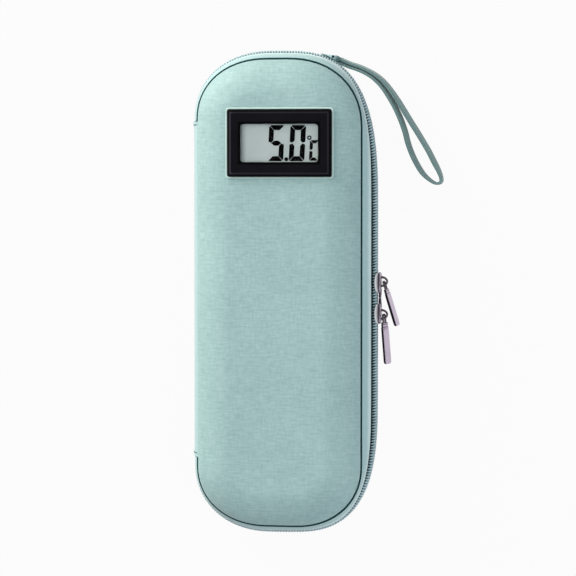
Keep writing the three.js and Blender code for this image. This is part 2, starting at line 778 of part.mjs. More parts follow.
function addThermometer(parent) {
  const thermometer = new THREE.Group();
  thermometer.position.set(displayX, displayY, caseThickness);
  addPiece(thermometer, 'display_bezel', displayBezel(), bezelBlack);
  const lens = slab(lensSize.width, lensSize.length, windowCorner, lensBase, lensTop);
  addPiece(thermometer, 'display_window', lens, clear);
  const glass = slab(lensSize.width, lensSize.length, windowCorner, lcdBase, lcdTop);
  addPiece(thermometer, 'lcd_panel', glass, lcdGreen);
  addPiece(thermometer, 'module_housing', moduleHousing(), bezelBlack);
  const zebraY = (lensSize.length - zebraWidth) / 2;
  for (const [name, y] of [['upper', zebraY], ['lower', -zebraY]]) {
    const zebra = box(-zebraLength / 2, zebraLength / 2, y - zebraWidth / 2, y + zebraWidth / 2,
      zebraBase, zebraTop);
    addPiece(thermometer, `${name}_zebra_strip`, zebra, rubberGrey);
  }
  const circuit = slab(housingInnerWidth - 2 * clearance, housingInnerLength - 2 * clearance, housingCorner,
    circuitBase, circuitTop);
  addPiece(thermometer, 'circuit_board', circuit, circuitGreen);
  const besideCells = (cellSpacing + cellDiameter) / 2 + clearance;
  const chip = domedDrop(chipDiameter, chipHeight, contactTop);
  chip.translate(-besideCells - chipDiameter / 2, 0, 0);
  addPiece(thermometer, 'controller_chip', chip, rubberGrey);
  const sensor = domedDrop(sensorDiameter, sensorLength, contactTop);
  sensor.translate(besideCells + sensorDiameter, 0, 0);
  addPiece(thermometer, 'temperature_sensor', sensor, rubberGrey);
  for (const [name, x] of [['left', -cellSpacing / 2], ['right', cellSpacing / 2]]) {
    const contact = slab(contactSize, contactSize, moduleFit, contactBase, contactTop).translate(x, 0, 0);
    addPiece(thermometer, `${name}_cell_contact`, contact, contactBrass);
    addPiece(thermometer, `${name}_button_cell`, buttonCell().translate(x, 0, 0), cellSteel);
  }
  const link = slab(cellSpacing + contactSize, contactSize, moduleFit, linkBase, linkTop);
  addPiece(thermometer, 'cell_link', link, contactBrass);
  addPiece(thermometer, 'battery_door', batteryDoor(), bezelBlack);
  parent.add(thermometer);
}

// Assembly

const coolingCase = new THREE.Group();

for (const [half, side] of [['back', -1], ['front', 1]]) {
  const layers = [
    ['cover', panelLayer(0, coverThickness, side), mint],
    ['foam', panelLayer(foamDepth, foamThickness, side), foamGrey],
    ['lining', panelLayer(liningDepth, liningThickness, side), foilSilver],
  ];
  for (const [layer, geometry, finish] of layers) {
    const shape = half === 'front' ? subtract(geometry, displayCutOut()) : geometry;
    addPiece(coolingCase, `${half}_${layer}`, shape, finish);
  }
  addPiece(coolingCase, `${half}_side_band`, sideBand(side), mint);
  addPiece(coolingCase, `${half}_zip_tape`, zipTape(side), teal);
  addPiece(coolingCase, `${half}_zip_coil`, zipCoil(side), coilGrey);
  addPiece(coolingCase, `${half}_spine_leaf`, spineLeaf(side), mint);
}

addSlider(coolingCase, 'upper', upperSliderY, 1, upperPullSwing, upperPullTurn);
addSlider(coolingCase, 'lower', lowerSliderY, -1, lowerPullSwing, lowerPullTurn);

addPiece(coolingCase, 'strap_tab', strapTab(), mint);
addPiece(coolingCase, 'wrist_strap', strapBand(), teal);

addPiece(coolingCase, 'pen_board', penBoard(), boardGrey);
addPiece(coolingCase, 'upper_pen_elastic', elasticBand(upperElasticY), elasticGrey);
addPiece(coolingCase, 'lower_pen_elastic', elasticBand(lowerElasticY), elasticGrey);

addPiece(coolingCase, 'gel_pack', gelPack(), gelBlue);
addPiece(coolingCase, 'net_pocket', netPocket(), elasticGrey);
addPiece(coolingCase, 'pocket_hem', pocketHem(), elasticGrey);

addThermometer(coolingCase);

export default coolingCase;
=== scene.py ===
import bpy
import bmesh
import math
from mathutils import Matrix, Vector, noise


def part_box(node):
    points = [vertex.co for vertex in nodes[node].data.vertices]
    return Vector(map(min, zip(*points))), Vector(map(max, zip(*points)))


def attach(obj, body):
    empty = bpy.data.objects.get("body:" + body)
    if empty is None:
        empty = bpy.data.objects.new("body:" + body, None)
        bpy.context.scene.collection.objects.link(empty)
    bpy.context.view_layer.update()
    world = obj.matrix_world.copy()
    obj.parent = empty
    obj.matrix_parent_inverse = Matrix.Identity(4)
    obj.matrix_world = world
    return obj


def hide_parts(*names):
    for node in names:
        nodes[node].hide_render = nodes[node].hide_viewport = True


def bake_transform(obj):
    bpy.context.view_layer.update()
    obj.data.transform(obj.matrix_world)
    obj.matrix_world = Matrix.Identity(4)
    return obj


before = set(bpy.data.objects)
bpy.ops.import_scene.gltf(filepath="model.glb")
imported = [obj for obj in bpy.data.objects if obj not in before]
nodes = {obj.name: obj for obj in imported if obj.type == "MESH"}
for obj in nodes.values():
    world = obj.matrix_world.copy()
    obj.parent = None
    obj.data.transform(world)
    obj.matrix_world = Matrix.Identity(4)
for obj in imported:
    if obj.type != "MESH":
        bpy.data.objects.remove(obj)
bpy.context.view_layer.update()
scene = bpy.context.scene
halves = ((1, "front", "lid"), (-1, "back", "case"))   # side of the zip, name and body
print("frame loaded:", len(nodes), "nodes")


# colours are written as photo levels, lengths as millimetres
def level(red, green, blue):
    def linear(value):
        share = value / 255
        return share / 12.92 if share <= 0.04045 else ((share + 0.055) / 1.055) ** 2.4
    return (linear(red), linear(green), linear(blue), 1.0)


def mm(*lengths):
    scaled = tuple(length * 0.001 for length in lengths)
    return scaled if len(scaled) > 1 else scaled[0]


def addObject(name, data):
    made = bpy.data.objects.new(name, data)
    scene.collection.objects.link(made)
    return made


# camera

cameraSetup = {
    "distance": 1200.0,
    "yaw": 8.75,       # towards the slider side
    "pitch": 2.3,      # towards the strap end
    "middle": (0.0, 0.0, 20.0),
    "slide": (2.31, 1.7),
    "lens": 175.6, "sensor": 36.0, "clipEnd": 20.0,
}


def buildCamera(setup):
    yaw, pitch = math.radians(setup["yaw"]), math.radians(setup["pitch"])
    back = Vector((math.sin(yaw) * math.cos(pitch), math.sin(pitch), math.cos(yaw) * math.cos(pitch)))
    right = Vector((0, 1, 0)).cross(back).normalized()
    up = back.cross(right)
    data = bpy.data.cameras.new("productCamera")
    data.sensor_width, data.lens, data.clip_end = setup["sensor"], setup["lens"], setup["clipEnd"]
    camera = addObject("productCamera", data)
    target = Vector(setup["middle"]) + right * setup["slide"][0] + up * setup["slide"][1]
    place = target + back * setup["distance"]
    rows = [(*axes, mm(far)) for *axes, far in zip(right, up, back, place)]
    camera.matrix_world = Matrix((*rows, (0, 0, 0, 1)))
    scene.camera = camera


buildCamera(cameraSetup)
print("camera placed")


# node helpers

def wire(tree, value, socket):
    if isinstance(value, bpy.types.NodeSocket):
        tree.links.new(value, socket)
    else:
        socket.default_value = value


def feed(tree, node, **sockets):
    for name, value in sockets.items():
        wire(tree, value, node.inputs[name.replace("_", " ")])


def addNode(tree, kind, fields=None, inputs=None):
    node = tree.nodes.new(kind)
    for key, value in (fields or {}).items():
        setattr(node, key, value)
    for key, value in (inputs or {}).items():
        wire(tree, value, node.inputs[key])
    return node


def calc(tree, operation, *values):
    return addNode(tree, "ShaderNodeMath", {"operation": operation}, dict(enumerate(values))).outputs[0]


def remap(tree, value, low, high, newLow=0.0, newHigh=1.0):
    inputs = {"Value": value, "From Min": low, "From Max": high, "To Min": newLow, "To Max": newHigh}
    return addNode(tree, "ShaderNodeMapRange", None, inputs).outputs[0]


def blendColours(tree, factor, first, second, mode="MIX"):
    fields = {"data_type": "RGBA", "blend_type": mode}
    return addNode(tree, "ShaderNodeMix", fields, {0: factor, 6: first, 7: second}).outputs[2]


def noiseOf(tree, vector, scale, detail=3.0, rough=0.55):
    inputs = {"Vector": vector, "Scale": scale, "Detail": detail, "Roughness": rough}
    return addNode(tree, "ShaderNodeTexNoise", None, inputs).outputs[0]


def stretched(tree, vector, scale):
    return addNode(tree, "ShaderNodeMapping", None, {"Vector": vector, "Scale": scale}).outputs[0]


def coordsOf(tree, uv=False):
    return addNode(tree, "ShaderNodeTexCoord").outputs["UV" if uv else "Object"]


def axesOf(tree, vector):
    return addNode(tree, "ShaderNodeSeparateXYZ", None, {"Vector": vector}).outputs


def waves(tree, distance, pitch, shift):
    turn = calc(tree, "DIVIDE", math.tau, pitch)
    return calc(tree, "SINE", calc(tree, "MULTIPLY_ADD", distance, turn, shift))


def newGroup(name, takes, gives):
    tree = bpy.data.node_groups.new(name, "ShaderNodeTree")
    tree.interface.new_socket(name="Vector", in_out="INPUT", socket_type="NodeSocketVector")
    for socket, value in takes.items():
        made = tree.interface.new_socket(name=socket, in_out="INPUT", socket_type="NodeSocketFloat")
        made.default_value = value
    for socket in gives:
        tree.interface.new_socket(name=socket, in_out="OUTPUT", socket_type="NodeSocketFloat")
    return tree, tree.nodes.new("NodeGroupInput").outputs, tree.nodes.new("NodeGroupOutput")


def useGroup(tree, group, vector, **values):
    return addNode(tree, "ShaderNodeGroup", {"node_tree": group}, {"Vector": vector, **values}).outputs


# shared surface effects; noise scales are per metre

def buildLinen():
    form = {"wander": 260.0, "wanderTurn": 5.0, "weft": (230, 1100, 1), "warp": (1100, 260, 1),
            "clouds": 36.0, "patches": (90, 190, 1), "slubRange": (0.28, 0.72), "mottleRange": (0.34, 0.66)}
    gives = ["Height", "Slubs", "Mottle"]
    tree, source, result = newGroup("linenWeave", {"Pitch": 0.0007, "Slub": 1.0}, gives)
    vector = source["Vector"]
    axes = axesOf(tree, vector)
    wander = calc(tree, "MULTIPLY", noiseOf(tree, vector, form["wander"], 2.0), form["wanderTurn"])
    across, along = (waves(tree, axes[key], source["Pitch"], wander) for key in "XY")
    weave = calc(tree, "MULTIPLY_ADD", calc(tree, "MULTIPLY", across, along), 0.5, 0.5)
    weft, warp, patches = (noiseOf(tree, stretched(tree, vector, form[key]), 1.0, 3.0, 0.6)
                           for key in ("weft", "warp", "patches"))

    def mixture(first, second):
        return calc(tree, "MULTIPLY_ADD", first, 0.6, calc(tree, "MULTIPLY", second, 0.4))
    slubs = calc(tree, "MULTIPLY", remap(tree, mixture(weft, warp), *form["slubRange"]), source["Slub"])
    clouds = mixture(noiseOf(tree, vector, form["clouds"], 3.0, 0.6), patches)
    feed(tree, result, Height=calc(tree, "ADD", calc(tree, "MULTIPLY", weave, 0.5), slubs), Slubs=slubs,
         Mottle=remap(tree, clouds, *form["mottleRange"]))
    return tree


def buildRibs():
    form = {"wander": 300.0, "wanderTurn": 2.0, "pickTurn": 1.6, "fuzz": 900.0, "fuzzShare": 0.3}
    tree, source, result = newGroup("ribbedWeave", {"Pitch": 0.0006, "Pick": 0.0009}, ["Height", "Shade"])
    vector = source["Vector"]
    axes = axesOf(tree, vector)
    wander = calc(tree, "MULTIPLY", noiseOf(tree, vector, form["wander"], 2.0), form["wanderTurn"])
    rib = waves(tree, axes["Y"], source["Pitch"], wander)
    pick = waves(tree, axes["X"], source["Pick"], calc(tree, "MULTIPLY", rib, form["pickTurn"]))
    height = calc(tree, "MULTIPLY_ADD", rib, 0.3, calc(tree, "MULTIPLY_ADD", pick, 0.2, 0.5))
    fuzz = calc(tree, "MULTIPLY", noiseOf(tree, vector, form["fuzz"]), form["fuzzShare"])
    feed(tree, result, Height=height, Shade=remap(tree, calc(tree, "ADD", height, fuzz), 0.2, 1.1))
    return tree


def buildCrinkle():
    form = {"push": 90.0, "pushBy": 0.006, "fold": 0.25, "grain": 400.0}
    tree, source, result = newGroup("filmCrinkle", {"Scale": 120.0}, ["Height", "Facet"])
    vector = source["Vector"]
    push = addNode(tree, "ShaderNodeTexNoise", None, {"Vector": vector, "Scale": form["push"]})
    shift = addNode(tree, "ShaderNodeVectorMath", {"operation": "SCALE"},
                    {0: push.outputs["Color"], "Scale": form["pushBy"]})
    bent = addNode(tree, "ShaderNodeVectorMath", {"operation": "ADD"}, {0: vector, 1: shift.outputs[0]})
    cells = addNode(tree, "ShaderNodeTexVoronoi", {"feature": "DISTANCE_TO_EDGE"},
                    {"Vector": bent.outputs[0], "Scale": source["Scale"]})
    fold = remap(tree, cells.outputs["Distance"], 0.0, form["fold"])
    grain = noiseOf(tree, bent.outputs[0], form["grain"])
    # Facet is low in the creases, where the finishes draw their dark tone as painted shade
    feed(tree, result, Height=calc(tree, "ADD", fold, grain), Facet=fold)
    return tree


def buildScuffs():
    form = {"streak": (1.0, 14.0, 6.0), "smudge": 90.0, "grain": 2600.0}
    tree, source, result = newGroup("handlingMarks", {"Scale": 300.0}, ["Scratch", "Smudge", "Grain"])
    vector = source["Vector"]
    streaks = noiseOf(tree, stretched(tree, vector, form["streak"]), source["Scale"], 2.0)
    smudge = noiseOf(tree, vector, form["smudge"], 4.0, 0.6)
    feed(tree, result, Scratch=remap(tree, streaks, 0.62, 0.72), Smudge=remap(tree, smudge, 0.35, 0.7),
         Grain=noiseOf(tree, vector, form["grain"], 2.0))
    return tree


linenGroup, ribGroup, crinkleGroup, scuffGroup = buildLinen(), buildRibs(), buildCrinkle(), buildScuffs()


# finishes

finishes = {}
white = (1, 1, 1, 1)


def newFinish(name, rough, metal=0.0, **fixed):
    material = bpy.data.materials.new(name)
    material.use_nodes = True
    finishes[name] = material
    tree = material.node_tree
    shader = tree.nodes["Principled BSDF"]
    feed(tree, shader, Roughness=rough, Metallic=metal, **fixed)
    return tree, shader


def bumpInto(tree, shader, height, depth):
    bump = addNode(tree, "ShaderNodeBump", None, {"Height": height, "Distance": mm(depth)})
    feed(tree, shader, Normal=bump.outputs["Normal"])


def tonesOf(look):
    return level(*look["dark"]), level(*look["light"])


def linenFinish(name, look):
    rough = look["rough"]
    tree, shader = newFinish(name, rough, Sheen_Weight=look["sheen"], Sheen_Roughness=0.5,
                             Specular_IOR_Level=look["gloss"])
    vector = coordsOf(tree, look.get("uv", True))
    weave = useGroup(tree, linenGroup, vector, Pitch=mm(look["pitch"]), Slub=look["slub"])
    cloth = blendColours(tree, weave["Slubs"], *tonesOf(look))
    patch = blendColours(tree, weave["Mottle"], look["patch"], white)
    cloth = blendColours(tree, 1.0, cloth, patch, "MULTIPLY")
    if "turned" in look:   # painted highlight along the band's edge above the coil
        share = remap(tree, axesOf(tree, vector)["Y"], *mm(*look["turned"]))
        cloth = blendColours(tree, calc(tree, "POWER", share, 1.6), cloth, level(*look["turnedLight"]))
    feed(tree, shader, Base_Color=cloth,
         Roughness=remap(tree, weave["Slubs"], 0.0, 1.0, rough + 0.08, rough - 0.06))
    bumpInto(tree, shader, weave["Height"], look["relief"])


def ribFinish(name, look):
    tree, shader = newFinish(name, look["rough"], Sheen_Weight=look.get("sheen", 0.2), Sheen_Roughness=0.4,
                             Specular_IOR_Level=look.get("gloss", 0.5))
    vector = coordsOf(tree, look.get("uv", True))
    weave = useGroup(tree, ribGroup, vector, Pitch=mm(look["pitch"]), Pick=mm(look["pick"]))
    cloth = blendColours(tree, weave["Shade"], *tonesOf(look))
    feed(tree, shader, Base_Color=cloth)
    bumpInto(tree, shader, weave["Height"], look["relief"])


def mouldedFinish(name, look):
    rough = look["rough"]
    tree, shader = newFinish(name, rough, look.get("metal", 0.0), Specular_IOR_Level=look.get("gloss", 0.5))
    marks = useGroup(tree, scuffGroup, coordsOf(tree), Scale=look.get("scale", 300.0))
    polish = remap(tree, marks["Smudge"], 0.0, 1.0, rough - 0.04, rough + 0.06)
    tint = blendColours(tree, marks["Smudge"], *tonesOf(look))
    feed(tree, shader, Base_Color=tint,
         Roughness=calc(tree, "ADD", polish, calc(tree, "MULTIPLY", marks["Scratch"], 0.12)))
    bumpInto(tree, shader, marks["Grain"], look.get("relief", 0.01))


def filmFinish(name, look):
    rough = look["rough"]
    tree, shader = newFinish(name, rough, look["metal"], Coat_Weight=look["coat"], Coat_Roughness=0.1)
    film = useGroup(tree, crinkleGroup, coordsOf(tree), Scale=look["scale"])
    # creases take the dark tone: painted shade in the creases
    tint = blendColours(tree, film["Facet"], *tonesOf(look))
    feed(tree, shader, Base_Color=tint,
         Roughness=remap(tree, film["Facet"], 0.0, 1.0, rough + 0.1, rough - 0.04))
    bumpInto(tree, shader, film["Height"], look["relief"])


# dark and light are photo levels, patch is the tint of the darker patches

bandLook = {"rough": 0.42, "sheen": 0.05, "gloss": 0.25, "pitch": 0.5, "slub": 0.8, "relief": 0.02,
            "dark": (160, 192, 196), "light": (175, 205, 209), "patch": (0.97, 0.975, 0.975, 1)}
linenLooks = {
    "panelLinen": {"rough": 0.55, "sheen": 0.1, "gloss": 0.45, "pitch": 0.7, "slub": 1.0, "relief": 0.04,
                   "dark": (139, 173, 175), "light": (170, 201, 202), "patch": (0.88, 0.9, 0.905, 1)},
    "spineLinen": bandLook,
    # the band's edge above the coil gets a painted highlight
    "bandLinen": {**bandLook, "turned": (4.4, 7.6), "turnedLight": (216, 239, 241)},
    # the welt's pale colour is a painted highlight round the frame
    "weltLinen": {**bandLook, "dark": (188, 216, 213), "light": (204, 230, 227)},
    "boardLinen": {"rough": 0.8, "sheen": 0.2, "gloss": 0.3, "pitch": 0.9, "slub": 1.0, "relief": 0.08,
                   "dark": (126, 142, 143), "light": (150, 166, 166), "patch": (0.93, 0.94, 0.94, 1),
                   "uv": False},
}
ribLooks = {
    # dark thread, partly real thread and partly painted shade: in the groove, at the spine's hems and inside
    # the coil
    "seamThread": {"rough": 0.8, "pitch": 0.5, "pick": 0.9, "relief": 0.08, "sheen": 0.0, "gloss": 0.1,
                   "dark": (14, 50, 54), "light": (30, 74, 78), "uv": False},
    # tape darkened: partly its own colour, partly painted shade in the gap between band and coil
    "tapeWeave": {"rough": 0.8, "pitch": 0.6, "pick": 1.0, "relief": 0.06,
                  "dark": (40, 64, 74), "light": (60, 86, 95)},
    "strapWeave": {"rough": 0.55, "pitch": 0.8, "pick": 1.1, "relief": 0.06,
                   "dark": (94, 126, 127), "light": (128, 160, 160)},
    "elasticWeave": {"rough": 0.8, "pitch": 1.2, "pick": 1.6, "relief": 0.12,
                     "dark": (40, 50, 52), "light": (72, 84, 86)},
    "bindingWeave": {"rough": 0.75, "pitch": 0.8, "pick": 1.0, "relief": 0.08,
                     "dark": (92, 120, 122), "light": (124, 152, 153)},
    "coreCord": {"rough": 0.8, "pitch": 0.5, "pick": 0.8, "relief": 0.04,
                 "dark": (112, 138, 147), "light": (136, 161, 169)},
    "paleThread": {"rough": 0.7, "pitch": 0.4, "pick": 0.6, "relief": 0.04,
                   "dark": (176, 196, 196), "light": (206, 222, 221), "uv": False},
    "netCord": {"rough": 0.8, "pitch": 0.3, "pick": 0.5, "relief": 0.03,
                "dark": (44, 56, 58), "light": (70, 84, 86), "uv": False},
}
mouldedLooks = {
    "coilNylon": {"rough": 0.38, "dark": (168, 192, 200), "light": (188, 211, 218), "scale": 500.0},
    "blackPlastic": {"rough": 0.3, "dark": (14, 14, 18), "light": (18, 18, 22), "gloss": 0.14,
                     "relief": 0.006},
    "cellSteel": {"rough": 0.24, "dark": (182, 184, 186), "light": (206, 208, 209), "metal": 1.0},
    "contactBrass": {"rough": 0.32, "dark": (176, 146, 84), "light": (204, 176, 110), "metal": 1.0},
    "circuitLacquer": {"rough": 0.35, "dark": (30, 76, 56), "light": (46, 100, 74)},
    "pottingResin": {"rough": 0.3, "dark": (18, 18, 20), "light": (28, 28, 31)},
    "zebraRubber": {"rough": 0.8, "dark": (48, 48, 52), "light": (70, 70, 74)},
}
filmLooks = {
    "foilFilm": {"rough": 0.3, "scale": 150.0, "relief": 0.25, "metal": 0.75, "coat": 0.0,
                 "dark": (176, 182, 186), "light": (214, 218, 221)},
    "gelFilm": {"rough": 0.18, "scale": 110.0, "relief": 0.35, "metal": 0.0, "coat": 0.5,
                "dark": (120, 176, 206), "light": (176, 212, 228)},
}
for build, looks in ((linenFinish, linenLooks), (ribFinish, ribLooks), (mouldedFinish, mouldedLooks),
                     (filmFinish, filmLooks)):
    for name, look in looks.items():
        build(name, look)


def buildLcdFinish():
    look = {"plain": level(148, 159, 159), "lit": level(157, 168, 168), "edge": level(102, 113, 113),
            "clouds": 120.0, "grain": 4000.0, "relief": 0.004,
            "leftShade": (1.3, 4.0), "topShade": (1.3, 2.6), "topLeast": 0.75}   # painted shadow of the frame on the cell's left and top edges
    tree, shader = newFinish("lcdGlass", 0.28, Specular_IOR_Level=0.35)
    vector = coordsOf(tree)
    axes = axesOf(tree, vector)
    low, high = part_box("lcd_panel")
    left = remap(tree, axes["X"], *(low.x + mm(inset) for inset in look["leftShade"]))
    top = remap(tree, axes["Y"], *(high.y - mm(inset) for inset in look["topShade"]), look["topLeast"], 1.0)
    face = blendColours(tree, noiseOf(tree, vector, look["clouds"]), look["plain"], look["lit"])
    # darker towards the left and top: painted shadow of the frame
    feed(tree, shader, Base_Color=blendColours(tree, calc(tree, "MULTIPLY", left, top), look["edge"], face))
    bumpInto(tree, shader, noiseOf(tree, vector, look["grain"], 2.0), look["relief"])


def buildLensFinish():
    look = {"tint": (0.97, 0.98, 0.98, 1), "rough": (0.03, 0.08), "scale": 500.0}
    tree, shader = newFinish("clearLens", 0.05, Transmission_Weight=1.0, IOR=1.08)
    marks = useGroup(tree, scuffGroup, coordsOf(tree), Scale=look["scale"])
    feed(tree, shader, Base_Color=blendColours(tree, marks["Smudge"], look["tint"], white),
         Roughness=remap(tree, marks["Smudge"], 0.0, 1.0, *look["rough"]))


def buildInkFinish():
    look = {"dark": (3, 3, 4), "light": (6, 6, 7), "clouds": 700.0}
    tree, shader = newFinish("segmentInk", 0.4, Specular_IOR_Level=0.02)
    clouds = noiseOf(tree, coordsOf(tree), look["clouds"], 2.0)
    feed(tree, shader, Base_Color=blendColours(tree, clouds, *tonesOf(look)))


def buildMetalFinish():
    # the cloth map holds how dark and how bright each edge is: the rim colour is painted shade, the white
    # non-metallic edge colour a painted highlight
    look = {"face": level(190, 177, 195), "worn": level(208, 197, 212), "rim": level(40, 28, 42),
            "edge": level(250, 247, 251), "metal": 0.8, "rough": (0.26, 0.36), "scale": 420.0, "relief": 0.01}
    tree, shader = newFinish("pullMetal", 0.3, look["metal"])
    marks = useGroup(tree, scuffGroup, coordsOf(tree), Scale=look["scale"])
    tones = axesOf(tree, coordsOf(tree, uv=True))
    rim, edge = (remap(tree, tones[key], 0.0, mm(1.0)) for key in "XY")
    face = blendColours(tree, marks["Smudge"], look["face"], look["worn"])
    face = blendColours(tree, edge, blendColours(tree, rim, face, look["rim"]), look["edge"])
    feed(tree, shader, Base_Color=face, Metallic=remap(tree, edge, 0.0, 1.0, look["metal"], 0.0),
         Roughness=remap(tree, marks["Smudge"], 0.0, 1.0, *look["rough"]))
    bumpInto(tree, shader, marks["Grain"], look["relief"])


def buildBezelFinish():
    # the lighter line near the outer edge is a painted highlight on the chamfer, strongest on the left
    look = {"flat": level(14, 13, 18), "worn": level(19, 18, 24), "line": level(64, 61, 71),
            "edge": level(2, 2, 3), "rim": (0.65, 0.9), "border": (0.85, 1.15), "opening": (16.5, 8.0),
            "rough": (0.28, 0.38), "scale": 300.0, "relief": 0.006, "lineAt": 1.25, "lineHalf": 0.45,
            "litEdge": (1.7, 2.6), "unlit": 0.4}   # the left edge catches the light
    tree, shader = newFinish("bezelPlastic", 0.32, Specular_IOR_Level=0.06)
    low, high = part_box("display_bezel")
    vector = coordsOf(tree)
    axes = axesOf(tree, vector)
    insets, outsets = [], []
    for key, near, far, opening in zip("XY", low, high, look["opening"]):
        out = calc(tree, "ABSOLUTE", calc(tree, "SUBTRACT", axes[key], (near + far) / 2))
        insets.append(calc(tree, "SUBTRACT", (far - near) / 2, out))
        outsets.append(calc(tree, "SUBTRACT", out, mm(opening)))
    inset, outset = calc(tree, "MINIMUM", *insets), calc(tree, "MAXIMUM", *outsets)
    line = calc(tree, "ABSOLUTE", calc(tree, "SUBTRACT", inset, mm(look["lineAt"])))
    line = remap(tree, line, 0.0, mm(look["lineHalf"]), 1.0, 0.0)
    lit = remap(tree, axes["X"], *(low.x + mm(far) for far in look["litEdge"]), 1.0, look["unlit"])
    marks = useGroup(tree, scuffGroup, vector, Scale=look["scale"])
    flat = blendColours(tree, marks["Smudge"], look["flat"], look["worn"])
    # painted highlight line on the chamfer
    face = blendColours(tree, calc(tree, "MULTIPLY", line, lit), flat, look["line"])
    dark = calc(tree, "MAXIMUM", remap(tree, inset, *mm(*look["rim"]), 1.0, 0.0),
                remap(tree, outset, *mm(*look["border"]), 1.0, 0.0))
    feed(tree, shader, Base_Color=blendColours(tree, dark, face, look["edge"]),
         Roughness=remap(tree, marks["Smudge"], 0.0, 1.0, *look["rough"]))
    bumpInto(tree, shader, marks["Grain"], look["relief"])


for build in (buildLcdFinish, buildLensFinish, buildInkFinish, buildMetalFinish, buildBezelFinish):
    build()
print("finishes made")


# mesh helpers, all in millimetres

moduleCut = {"gap": 0.3, "low": 30.0, "high": 45.0}


def cutForModule(piece):
    low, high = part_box("module_housing")
    gap = mm(moduleCut["gap"])
    near = (low.x - gap, low.y - gap, mm(moduleCut["low"]))
    far = (high.x + gap, high.y + gap, mm(moduleCut["high"]))
    cutter = addObject("cutter", bpy.data.meshes.new("cutter"))
    block = bmesh.new()
    bmesh.ops.create_cube(block, size=1.0)
    for vertex in block.verts:
        vertex.co = Vector([near[k] if vertex.co[k] < 0 else far[k] for k in range(3)])
    block.to_mesh(cutter.data)
    block.free()
    cut = piece.modifiers.new("moduleCutOut", "BOOLEAN")
    cut.object, cut.solver = cutter, "EXACT"
    settled = bpy.data.meshes.new_from_object(piece.evaluated_get(bpy.context.evaluated_depsgraph_get()))
    piece.modifiers.clear()
    piece.data = settled
    bpy.data.objects.remove(cutter)


def makePiece(name, parts, finish, body, replaced=(), sharp=50.0, cut=False):
    points, faces, uvs = [], [], []
    for part in parts:
        start = len(points)
        points += [mm(*point) for point in part["points"]]
        faces += [tuple(start + index for index in face) for face in part["faces"]]
        uvs += [mm(*uv) for uv in part.get("uvs") or [(p[0], p[1]) for p in part["points"]]]
    mesh = bpy.data.meshes.new(name)
    mesh.from_pydata(points, [], faces)
    layer = mesh.uv_layers.new(name="cloth")
    for loop in mesh.loops:
        layer.data[loop.index].uv = uvs[loop.vertex_index]
    facing = bmesh.new()
    facing.from_mesh(mesh)
    bmesh.ops.recalc_face_normals(facing, faces=facing.faces)
    facing.to_mesh(mesh)
    facing.free()
    for polygon in mesh.polygons:
        polygon.use_smooth = True
    mesh.set_sharp_from_angle(angle=math.radians(sharp))
    mesh.materials.append(finishes[finish])
    piece = addObject(name, mesh)
    if cut:
        cutForModule(piece)
    if body:
        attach(piece, body)
    if replaced:
        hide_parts(*replaced)
    return piece


def loft(rings, uvRings=None, ends="capped", ringClosed=True):
    # skin over rings of points, with its ends capped, joined to each other or open
    count, last = len(rings[0]), len(rings) - 1
    faces = []
    for k in range(last + (ends == "joined")):
        here, there = k * count, ((k + 1) % len(rings)) * count
        for i in range(count if ringClosed else count - 1):
            j = (i + 1) % count
            faces.append((here + i, here + j, there + j, there + i))
    if ends == "capped":
        faces += [tuple(range(count))[::-1], tuple(range(last * count, len(rings) * count))]
    part = {"points": [point for ring in rings for point in ring], "faces": faces}
    if uvRings:
        part["uvs"] = [uv for ring in uvRings for uv in ring]
    return part


def lengthsAlong(path):
    lengths = [0.0]
    for before, after in zip(path, path[1:]):
        lengths.append(lengths[-1] + (Vector(after) - Vector(before)).length)
    return lengths


def resample(path, count):
    lengths = lengthsAlong(path)
    result, k = [], 0
    for i in range(count):
        want = lengths[-1] * i / (count - 1)
        while k < len(path) - 2 and lengths[k + 1] < want:
            k += 1
        share = (want - lengths[k]) / max(lengths[k + 1] - lengths[k], 1e-9)
        result.append(Vector(path[k]).lerp(Vector(path[k + 1]), min(max(share, 0), 1)))
    return result


def smoothLine(controls, perSpan):
    last = len(controls) - 1
    line = []
    for i in range(last):
        a, b, c, d = (Vector(controls[min(max(k, 0), last)]) for k in range(i - 1, i + 3))
        for step in range(perSpan):
            t = step / perSpan
            line.append(0.5 * (2 * b + (c - a) * t + (2 * a - 5 * b + 4 * c - d) * t * t
                               + (3 * b - a - 3 * c + d) * t ** 3))
    return line + [Vector(controls[last])]


def tangentsOf(path, closed=False):
    count = len(path)
    ahead = [path[(i + 1) % count] if closed else path[min(i + 1, count - 1)] for i in range(count)]
    behind = [path[i - 1] if closed else path[max(i - 1, 0)] for i in range(count)]
    return [(Vector(a) - Vector(b)).normalized() for a, b in zip(ahead, behind)]


def tube(path, radius, sides=8, closed=False):
    path = [Vector(point) for point in path]
    tangents = tangentsOf(path, closed)
    side = tangents[0].orthogonal().normalized()
    turns = [2 * math.pi * k / sides for k in range(sides)]
    rings, uvs = [], []
    for i, (point, tangent, far) in enumerate(zip(path, tangents, lengthsAlong(path))):
        side = (side - tangent * side.dot(tangent)).normalized()
        lift = tangent.cross(side)
        size = radius(i / (len(path) - 1)) if callable(radius) else radius
        rings.append([point + side * size * math.cos(t) + lift * size * math.sin(t) for t in turns])
        uvs.append([(far, size * t) for t in turns])
    return loft(rings, uvs, "joined" if closed else "capped")


def clothAlong(line, step, count):
    along = lengthsAlong(line)
    return [[(far, k * step) for far in along] for k in range(count)]


def openStrip(rings, step):
    # closed section carried along an open path
    count = len(rings[0])
    part = loft(rings, clothAlong(rings[0], step, len(rings)), "joined", False)
    first, last = ([k * count + end for k in range(len(rings))] for end in (0, count - 1))
    part["faces"] += [tuple(first), tuple(last[::-1])]
    return part


def slabPart(outline, low, high):
    return loft([[(x, y, z) for x, y in outline] for z in (low, high)])


